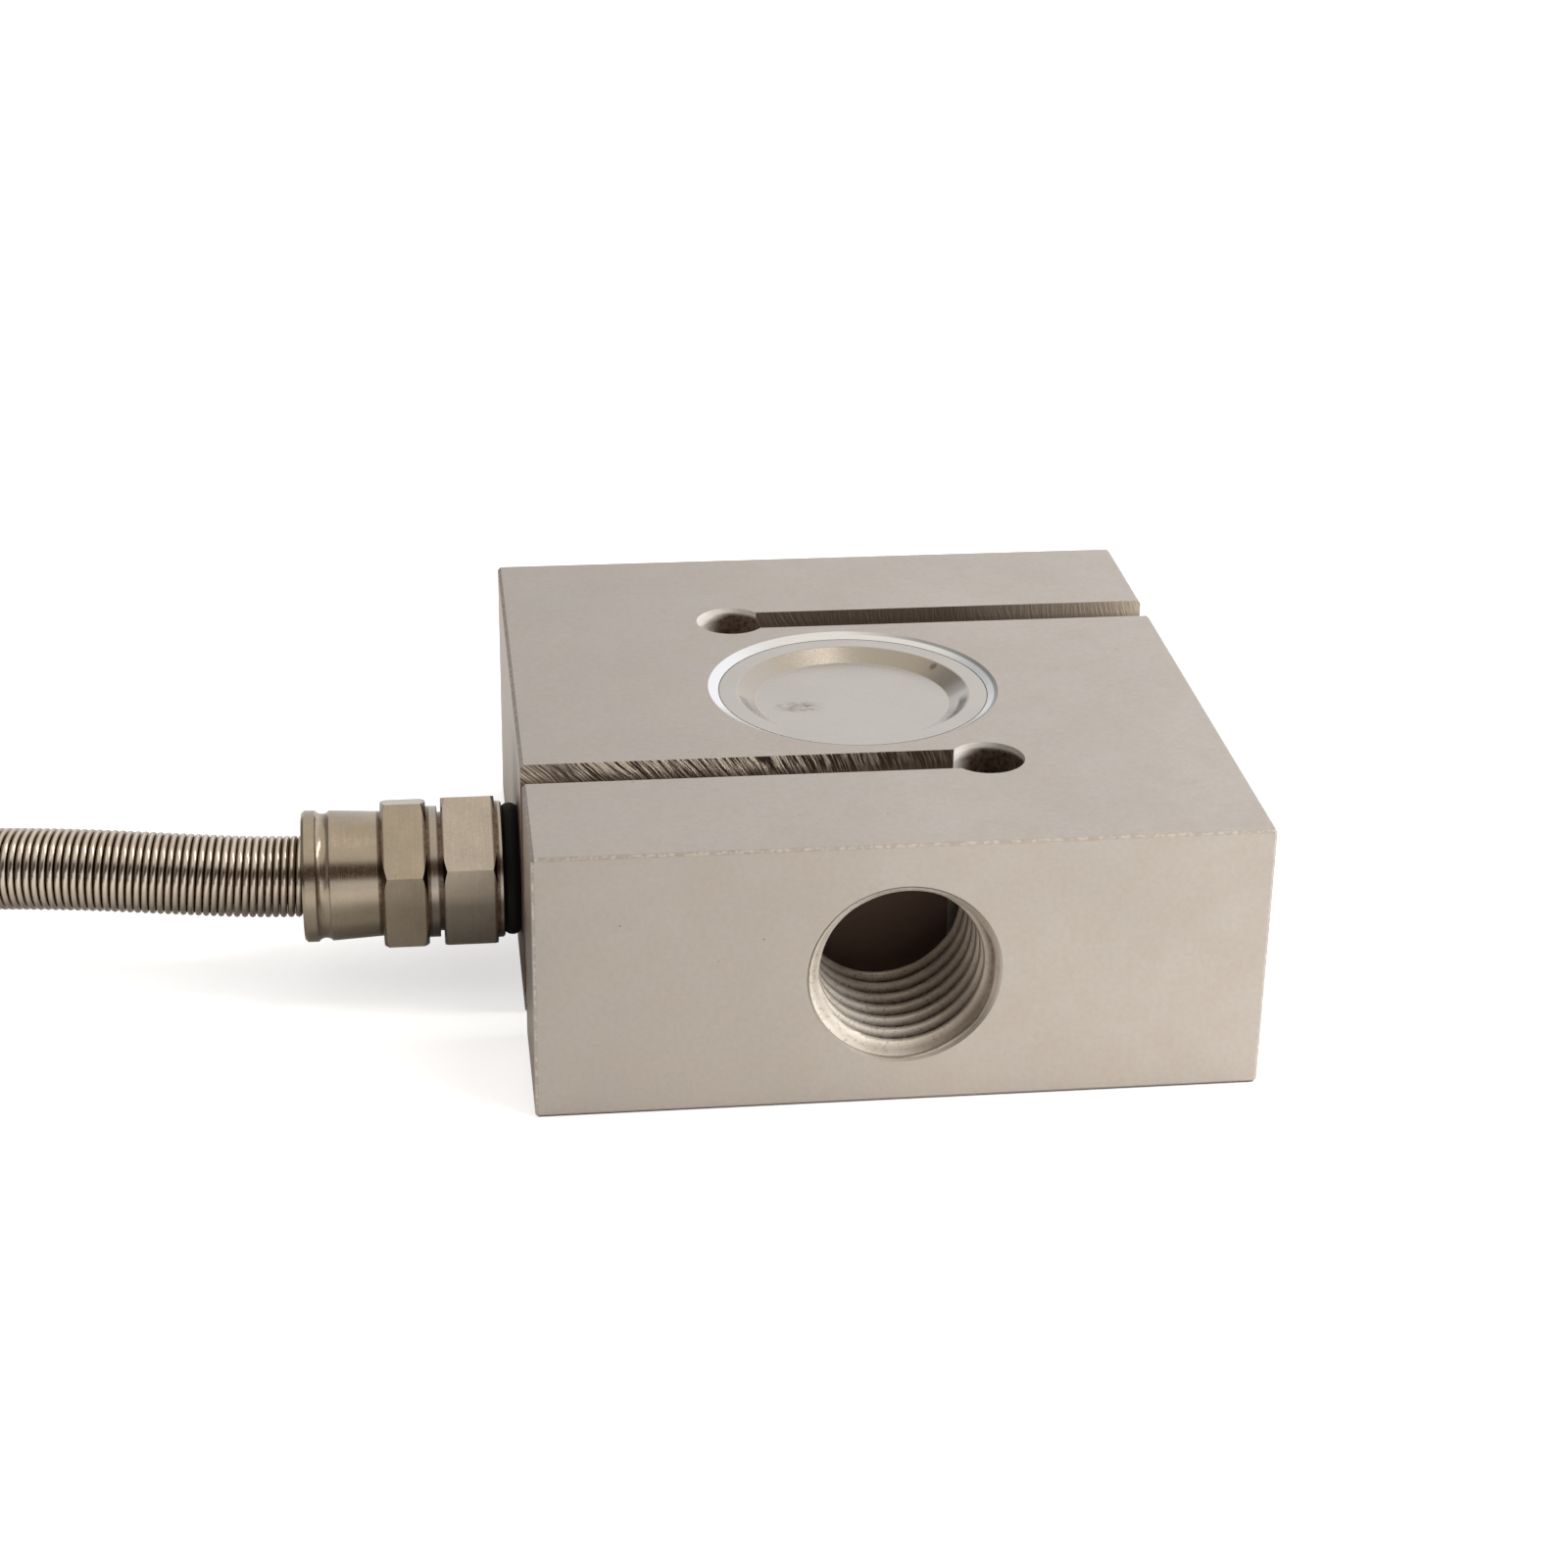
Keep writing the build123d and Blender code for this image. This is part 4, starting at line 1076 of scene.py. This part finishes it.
class LOADCELL_OT_load_threads(bpy.types.Operator):
    """Cuts the helical load thread into both limbs"""

    bl_idname = "loadcell.load_threads"
    bl_label = "Load threads"

    def execute(self, context):
        sizes = context.scene.loadcell_thread
        finish = thread_finish(sizes)
        for name, side in (("load_thread_front", -1), ("load_thread_back", 1)):
            settle(self.thread(name, sizes, side), "plated_steel", finish)
        return {"FINISHED"}

    def thread(self, name, sizes, side):
        """Ridge of one load thread: a helix that runs out in the chamfers at both ends of the bore."""
        pitch = sizes.pitch / MM
        mouth = sizes.mouth_radius / MM
        depth = BLOCK_HALF.y - SLOT_OFFSET - SLOT_WIDTH / 2
        turns = depth / pitch + 2.0
        half_base = pitch * 7 / 16
        foot = sizes.major_radius / MM + RIDGE_FOOT_SINK
        section = self.section(sizes, pitch / 8 / half_base, foot)
        rings = []
        for k in range(ceil(turns * sizes.steps) + 1):
            angle = 2 * pi * k / sizes.steps
            middle = pitch * (k / sizes.steps - 1.0)
            ring = []
            for mark, radius in section:
                inward = min(max(middle + mark * half_base, RIDGE_END_GAP), depth - RIDGE_END_GAP)
                chamfer = max(mouth - inward, mouth - 2 * (depth - inward))
                radius = max(radius, min(chamfer, foot))
                ring.append(Vector((
                    -side * radius * cos(angle),
                    side * (BLOCK_HALF.y - inward),
                    LOAD_AXIS_HEIGHT + radius * sin(angle),
                )))
            rings.append(ring)
        return mesh_piece(name, *joined_rings(rings), smooth_angle=50.0)

    def section(self, sizes, crest_share, foot):
        """Places across the ridge with their radii: a rounded crest, straight flanks and a sunk foot."""
        crest = sizes.minor_radius / MM
        flank = crest + RIDGE_ROUNDING
        fall = sizes.major_radius / MM + RIDGE_ROOT_SINK - crest - RIDGE_ROUNDING
        points = []
        for mark in (*(-mark for mark in reversed(RIDGE_MARKS)), 0.0, *RIDGE_MARKS):
            share = abs(mark)
            if share <= crest_share:
                radius = crest + RIDGE_ROUNDING * (share / crest_share) ** 2
            else:
                radius = flank + fall * ((share - crest_share) / (1 - crest_share))
            points.append((mark, radius))
        return [(-1.0, foot), *points, (1.0, foot)]


class LOADCELL_OT_gland(bpy.types.Operator):
    """Finishes the cable gland, its rubber seal and what grips the cable inside it"""

    bl_idname = "loadcell.gland"
    bl_label = "Cable gland"

    def execute(self, context):
        metal = context.scene.loadcell_metal
        dress_solids(gland_finish("gland_body_nickel", metal.gland, underside_shade=0.36), "gland_body")
        dress_solids(gland_finish("gland_nut_nickel", metal.nut, underside_shade=0.80), "gland_nut")
        dress_solids(rubber_finish("seal_rubber", (0.005, 0.005, 0.005), 0.6, 0.75), "face_seal", "grommet")
        dress_solids(plain_metal_finish("washer_steel", (0.62, 0.61, 0.59), 0.25, 0.35), "thrust_washer")
        return {"FINISHED"}


class LOADCELL_OT_sensor_cable(bpy.types.Operator):
    """Lays the cable from the gland to its put-away coil and the loose end on top"""

    bl_idname = "loadcell.sensor_cable"
    bl_label = "Sensor cable"

    def execute(self, context):
        sizes = context.scene.loadcell_cable
        jacket = jacket_finish(sizes)
        cable = smooth_curve("sensor_cable_jacket", Coil(sizes).cable, sizes.diameter / MM / 2)
        settle(cable, "cable_jacket", jacket, "sensor_cable", "cable_coil")
        dress_solids(jacket, "clamped_cable")
        return {"FINISHED"}


# Lean of the spring's last turn as a share of its radius, and the step in which its place is searched
SPRING_END_LEAN = 0.35
SPRING_END_STEP = 0.1


class LOADCELL_OT_spring_sleeve(bpy.types.Operator):
    """Winds the close wire spring round the cable where it leaves the gland"""

    bl_idname = "loadcell.spring_sleeve"
    bl_label = "Spring sleeve"

    def execute(self, context):
        sizes = context.scene.loadcell_spring
        route, _ = cord_route()
        line = Line(spline_line(route))
        solid_low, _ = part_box("spring_sleeve")
        wire = sizes.wire / MM / 2
        turn_radius = sizes.outside / MM - wire
        start = SPRING_SEAT_DISTANCE - EXIT_DISTANCE + wire
        end = start
        while line.place(end)[0].x - turn_radius * SPRING_END_LEAN > solid_low[0] / MM + wire:
            end += SPRING_END_STEP
        turns = (end - start) / (sizes.pitch / MM)
        rings = []
        for k in range(int(turns * sizes.steps) + 1):
            share = k / sizes.steps
            point, along, side, up = line.place(start + share * sizes.pitch / MM)
            angle = 2 * pi * share
            outwards = side * cos(angle) + up * sin(angle)
            rings.append(ring_round(point + outwards * turn_radius, outwards, along, wire, sizes.sides))
        spring = mesh_piece("spring_wire", *joined_rings(rings), smooth_angle=70.0)
        settle(spring, "spring_wire", spring_finish(), "spring_sleeve")
        return {"FINISHED"}


# Ties: the strap's section, each point with its side (outer or not), share of the width and whether a rib
# lifts it, then the ribs, the steps round the coil, the locking head and the cut end that stands out of it
STRAP_SECTION = (
    (False, -0.5, 0), (True, -0.5, 0), (True, -0.36, 0), (True, -0.30, 1),
    (True, 0.30, 1), (True, 0.36, 0), (True, 0.5, 0), (False, 0.5, 0),
)
RIB_HEIGHT = 0.10
RIB_VALLEY = -0.06
STRAP_SKIN = 0.1
HULL_STEPS = 144
HEAD_HALF = (1.95, 2.6, 2.2)
HEAD_LEVELS = ((0.0, 0.62), (0.25, 0.86), (0.7, 1.0))
HEAD_SHRINK = 1.1
HEAD_CORNER = 0.7
HEAD_REACH = 1.8
CORNER_STEPS = 4
STUB_SHIFT = 0.25
STUB_START = 1.2
STUB_LENGTH = 4.0
STUB_LEVELS = 11


class LOADCELL_OT_coil_ties(bpy.types.Operator):
    """Straps the coil with two nylon ties, one of them also round the cable's loose end"""

    bl_idname = "loadcell.coil_ties"
    bl_label = "Coil ties"

    def execute(self, context):
        coil = Coil(context.scene.loadcell_cable)
        sizes = context.scene.loadcell_tie
        finish = nylon_finish()
        plain = self.tie("nylon_tie_plain", coil, sizes, coil.start_angle + radians(PLAIN_TIE_TURN))
        settle(plain, "tie_plastic", finish, "coil_tie_plain")
        tail = coil.tail_points()
        held = (tail[2] + tail[3]) / 2 - coil.centre
        held_height = (tail[2].z + tail[3].z) / 2
        loose_end = (hypot(held.x, held.y), held_height, coil.radius + TAIL_TIE_CLEARANCE)
        tied = self.tie("nylon_tie_tail", coil, sizes, atan2(held.y, held.x), loose_end)
        settle(tied, "tie_plastic", finish, "coil_tie_tail")
        return {"FINISHED"}

    def tie(self, name, coil, sizes, angle, *loose_ends):
        """One tie: the strap drawn round the coil's section, its locking head and its cut end."""
        thickness = sizes.thickness / MM
        width = sizes.width / MM
        outwards = Vector((cos(angle), sin(angle), 0))
        across = Vector((outwards.y, -outwards.x, 0))
        around = coil.radius + COIL_SLACK + TIE_CLEARANCE
        corners = [
            (coil.middle + way * coil.half_width, height, around)
            for way in (-1, 1) for height in (coil.low, coil.top_layer)
        ]
        base = Vector((coil.centre.x, coil.centre.y, 0))
        rings = []
        for inner, outer, on_rib in self.loop([*corners, *loose_ends], thickness, sizes.rib_pitch / MM):
            lift = (outer - inner).normalized() * (RIB_HEIGHT if on_rib else RIB_VALLEY)
            ring = []
            for is_outer, share, lifted in STRAP_SECTION:
                place = (outer if is_outer else inner) + lift * lifted
                ring.append(base + outwards * place.x + UP * place.y + across * (share * width))
            rings.append(ring)
        vertices, faces = joined_rings(rings, closed=True)
        band_outside = coil.middle + coil.half_width + around + thickness
        middle_height = (coil.low + coil.top_layer) / 2
        head_centre = base + outwards * (band_outside + HEAD_REACH - STUB_SHIFT) + UP * middle_height
        add_form(vertices, faces, self.head(head_centre, outwards, across))
        stub_foot = head_centre + outwards * STUB_SHIFT
        add_form(vertices, faces, self.stub(stub_foot, outwards, across, thickness, width))
        return mesh_piece(name, vertices, faces, smooth_angle=40.0)

    def loop(self, circles, thickness, rib_pitch):
        """Inner and outer points round the hull of circles, with every second point on a rib."""
        corners = []
        for k in range(HULL_STEPS):
            angle = 2 * pi * k / HULL_STEPS
            normal = Vector((cos(angle), sin(angle)))
            best = max(circles, key=lambda c: c[0] * normal.x + c[1] * normal.y + c[2])
            corners.append((Vector((best[0], best[1])) + normal * best[2], normal))
        loop = []
        for (here, normal), (after, after_normal) in zip(corners, corners[1:] + corners[:1]):
            pieces = max(1, round((after - here).length / (rib_pitch / 2)))
            for n in range(pieces):
                share = n / pieces
                place = here.lerp(after, share)
                outward = normal.lerp(after_normal, share).normalized()
                loop.append((place, place + outward * (thickness - STRAP_SKIN), len(loop) % 2 == 0))
        return loop

    def head(self, centre, outwards, across):
        """Locking head: a block with rounded corners, drawn in at its top and bottom."""
        half_a, half_b, half_height = HEAD_HALF
        levels = [(inset - half_height, share) for inset, share in HEAD_LEVELS]
        levels += [(half_height - inset, share) for inset, share in reversed(HEAD_LEVELS)]
        rings = []
        for height, share in levels:
            shrink = (1 - share) * HEAD_SHRINK
            rings.append([
                centre + outwards * a + across * b + UP * height
                for a, b in self.rounded(half_a - shrink, half_b - shrink)
            ])
        return joined_rings(rings)

    def rounded(self, half_a, half_b):
        """Points of a rectangle with rounded corners."""
        points = []
        for k, (a, b) in enumerate(((1, 1), (-1, 1), (-1, -1), (1, -1))):
            for n in range(CORNER_STEPS + 1):
                angle = radians(90 * k + 90 * n / CORNER_STEPS)
                points.append((
                    a * (half_a - HEAD_CORNER) + HEAD_CORNER * cos(angle),
                    b * (half_b - HEAD_CORNER) + HEAD_CORNER * sin(angle),
                ))
        return points

    def stub(self, foot, outwards, across, thickness, width):
        """Cut end of the strap that stands out of the head, with its ribs."""
        half = thickness / 2 + RIB_VALLEY
        rings = []
        for k in range(STUB_LEVELS):
            height = STUB_START + STUB_LENGTH * k / (STUB_LEVELS - 1)
            lift = RIB_HEIGHT if k % 2 else 0.0
            ring = []
            for is_outer, share, lifted in STRAP_SECTION:
                out = (half if is_outer else -half) + lift * lifted
                ring.append(foot + outwards * out + across * (share * width) + UP * height)
            rings.append(ring)
        return joined_rings(rings)


# Shrink sleeve: its wall, steps, waves and open lip, then its nose as shares of the length with their radii,
# and the mouth inside the nose as depths with their radii
SLEEVE_WALL = 0.40
SLEEVE_STEPS = 26
SLEEVE_SIDES = 40
SLEEVE_END_GAP = 0.01
SLEEVE_WAVE = 0.025
SLEEVE_WAVE_PACE = 1.7
SLEEVE_PLAIN_STEPS = 3
SLEEVE_LIP = 0.22
NOSE_OUTLINE = (
    (0.10, 2.90), (0.22, 2.82), (0.36, 2.66), (0.52, 2.46),
    (0.70, 2.30), (0.86, 2.21), (0.97, 2.12), (1.0, 1.98),
)
NOSE_MOUTH = ((0.0, 1.86), (0.5, 1.80))

# Tips of the leads: six strands round a middle one, their twist in turns, wire radius and distance from the
# middle, how much they close in and thin out towards the point, and how far they reach into the insulation
TIP_STRANDS = 6
TIP_STEPS = 24
TIP_TWIST = 1.6
TIP_WIRE = 0.125
TIP_SPREAD = 0.215
TIP_CLOSING = 0.25
TIP_THINNING = 0.35
TIP_POINT = 0.1
TIP_ROOT = 0.3
LEAD_ROOT = 0.4
TAIL_END_POINTS = 8


class LOADCELL_OT_cable_end(bpy.types.Operator):
    """Ends the cable with a shrink sleeve, its insulated cores, the drain wire and their tinned tips"""

    bl_idname = "loadcell.cable_end"
    bl_label = "Cable end"

    def execute(self, context):
        sizes = context.scene.loadcell_cable
        coil = Coil(sizes)
        end = coil.cable[-1]
        heading = (end - coil.cable[-2]).normalized()
        self.add_sleeve(coil, Line(spline_line(coil.cable[-TAIL_END_POINTS:])), end, heading)
        self.add_leads(sizes, coil, end + heading * SLEEVE_NOSE, heading)
        return {"FINISHED"}

    def add_sleeve(self, coil, line, end, heading):
        """Shrunk tube: open lip on the jacket, slight waves, and a nose drawn in round the cores."""
        start = line.length - SLEEVE_ON_CABLE
        rings = []
        for k in range(SLEEVE_STEPS + 1):
            distance = (SLEEVE_ON_CABLE - SLEEVE_END_GAP) * k / SLEEVE_STEPS
            point, _, side, up = line.place(start + distance)
            radius = coil.radius + SLEEVE_WALL
            if k == 0:
                radius -= SLEEVE_LIP
            elif k < SLEEVE_STEPS - SLEEVE_PLAIN_STEPS:
                radius += SLEEVE_WAVE * sin(k * SLEEVE_WAVE_PACE)
            rings.append(ring_round(point, side, up, radius, SLEEVE_SIDES))
        nose = [(SLEEVE_NOSE * share, radius) for share, radius in NOSE_OUTLINE]
        nose += [(SLEEVE_NOSE - depth, radius) for depth, radius in NOSE_MOUTH]
        for distance, radius in nose:
            rings.append(ring_round(end + heading * distance, side, up, radius, SLEEVE_SIDES))
        sleeve = mesh_piece("shrink_sleeve", *joined_rings(rings))
        finish = rubber_finish("shrink_sleeve_plastic", (0.018, 0.018, 0.019), 0.38, 0.5)
        settle(sleeve, "shrink_sleeve", finish, "end_sleeve")

    def add_leads(self, sizes, coil, nose, heading):
        """Cores and drain wire side by side on the coil, with their tinned tips as one piece."""
        side = Vector((-heading.y, heading.x, 0))
        radius = sizes.lead_radius / MM
        nose_angle = coil.tail_angles()[-1] + SLEEVE_NOSE / coil.middle
        step_angle = LEAD_RUN / coil.middle
        tips = ([], [])
        for name, place_angle, lane, slot_name, colour in LEADS:
            start = nose + side * (LEAD_RING_RADIUS * cos(radians(place_angle)))
            start.z += LEAD_RING_RADIUS * sin(radians(place_angle))
            points = [start - heading * LEAD_ROOT, start + heading * LEAD_STRAIGHT]
            lane_radius = LEAD_LANE_MIDDLE + lane * LEAD_LANE_PITCH
            for step in LEAD_STEPS:
                points.append(coil.at(nose_angle + step * step_angle, lane_radius, coil.top + radius))
            lead = smooth_curve("lead_wire_" + name, points, radius, bevel_steps=4, spline_steps=10)
            finish = insulation_finish(name + "_insulation_plastic", colour)
            settle(lead, slot_name, finish, "lead_" + name)
            self.twist_tip(tips, points[-1], (points[-1] - points[-2]).normalized())
        finish = plain_metal_finish("tinned_copper", (0.62, 0.60, 0.56), 0.22, 0.36)
        settle(mesh_piece("tinned_lead_tips", *tips, smooth_angle=60.0), "solder", finish, "lead_tips")

    def twist_tip(self, tips, start, along):
        """Twisted strands of one bare end, melted together by the solder near the point."""
        side = along.cross(UP).normalized()
        up = side.cross(along)
        for strand in range(TIP_STRANDS + 1):
            rings = []
            for k in range(TIP_STEPS + 1):
                share = k / TIP_STEPS
                angle = 2 * pi * (strand / TIP_STRANDS + TIP_TWIST * share)
                offset = 0.0 if strand == TIP_STRANDS else TIP_SPREAD * (1 - TIP_CLOSING * share * share)
                point = start + along * (LEAD_TIP_LENGTH * share - TIP_ROOT * (1 - share))
                point += (side * cos(angle) + up * sin(angle)) * offset
                wire = TIP_WIRE * (1 - TIP_THINNING * max(0.0, share - 1 + TIP_POINT) / TIP_POINT)
                rings.append(ring_round(point, side, up, wire, 8))
            add_form(*tips, joined_rings(rings))


class LOADCELL_OT_gauge_bay(bpy.types.Operator):
    """Finishes the gauges, boards, solder and wires that the covers close in"""

    bl_idname = "loadcell.gauge_bay"
    bl_label = "Gauge bays"

    def execute(self, context):
        foil = plain_metal_finish("gauge_foil_metal", (0.60, 0.47, 0.36), 0.22, 0.32)
        solder = plain_metal_finish("tinned_pad", (0.66, 0.65, 0.62), 0.20, 0.38)
        wire = insulation_finish("enamelled_copper", (0.42, 0.13, 0.04))
        case = rubber_finish("resistor_case", (0.02, 0.02, 0.025), 0.4, 0.55)
        link = insulation_finish("link_wire_plastic", (0.70, 0.70, 0.66))
        dress_solids(film_finish(), "top_gauge_backing", "bottom_gauge_backing")
        dress_solids(foil, "top_gauge_foil", "bottom_gauge_foil")
        dress_solids(wire, "top_gauge_jumpers", "bottom_gauge_jumpers")
        dress_solids(board_finish(), "upper_terminal_strip", "lower_terminal_strip", "compensation_board")
        dress_solids(solder, "upper_strip_pads", "lower_strip_pads")
        dress_solids(case, "compensation_resistors")
        dress_solids(link, "strip_link_wires")
        for name, _, _, _, colour in LEADS[:-1]:
            dress_solids(insulation_finish(name + "_core_plastic", colour), "core_" + name)
        return {"FINISHED"}


class LOADCELL_OT_declare_cord(bpy.types.Operator):
    bl_idname = "loadcell.declare_cord"
    bl_label = "Cable facts"

    def execute(self, context):
        pieces = bpy.data.objects
        on_it = [frame["nodes"][name] for name in (
            "face_seal", "gland_body", "grommet", "thrust_washer", "gland_nut", "clamped_cable",
        )]
        on_it += [pieces[name] for name in (
            "spring_wire", "nylon_tie_plain", "nylon_tie_tail", "shrink_sleeve", "tinned_lead_tips",
        )]
        on_it += [pieces["lead_wire_" + lead[0]] for lead in LEADS]
        return {"FINISHED"}


class LOADCELL_PT_sidebar(bpy.types.Panel):
    """Lists the load cell's pieces and their sizes"""

    bl_idname = "LOADCELL_PT_sidebar"
    bl_label = "Load cell"
    bl_space_type = "VIEW_3D"
    bl_region_type = "UI"
    bl_category = "Load cell"

    def draw(self, context):
        layout = self.layout
        for operator in OPERATORS:
            layout.operator(operator.bl_idname)
        for name in GROUPS:
            group = getattr(context.scene, name)
            box = layout.box()
            for key in group.__class__.__annotations__:
                box.prop(group, key)


OPERATORS = (
    LOADCELL_OT_stage,
    LOADCELL_OT_sensor_cable,
    LOADCELL_OT_block,
    LOADCELL_OT_load_threads,
    LOADCELL_OT_gland,
    LOADCELL_OT_spring_sleeve,
    LOADCELL_OT_coil_ties,
    LOADCELL_OT_cable_end,
    LOADCELL_OT_gauge_bay,
    LOADCELL_OT_declare_cord,
)
GROUPS = {
    "loadcell_thread": ThreadSizes,
    "loadcell_cable": CableSizes,
    "loadcell_spring": SpringSizes,
    "loadcell_tie": TieSizes,
    "loadcell_metal": MetalFinish,
    "loadcell_studio": StudioSettings,
}


def register():
    for group in GROUPS.values():
        bpy.utils.register_class(group)
    for name, group in GROUPS.items():
        setattr(bpy.types.Scene, name, PointerProperty(type=group))
    for operator in OPERATORS:
        bpy.utils.register_class(operator)
    bpy.utils.register_class(LOADCELL_PT_sidebar)


def unregister():
    bpy.utils.unregister_class(LOADCELL_PT_sidebar)
    for operator in reversed(OPERATORS):
        bpy.utils.unregister_class(operator)
    for name in GROUPS:
        delattr(bpy.types.Scene, name)
    for group in reversed(GROUPS.values()):
        bpy.utils.unregister_class(group)


def main():
    register()
    for operator in OPERATORS:
        category, name = operator.bl_idname.split(".")
        getattr(getattr(bpy.ops, category), name)()


if __name__ == "__main__":
    main()
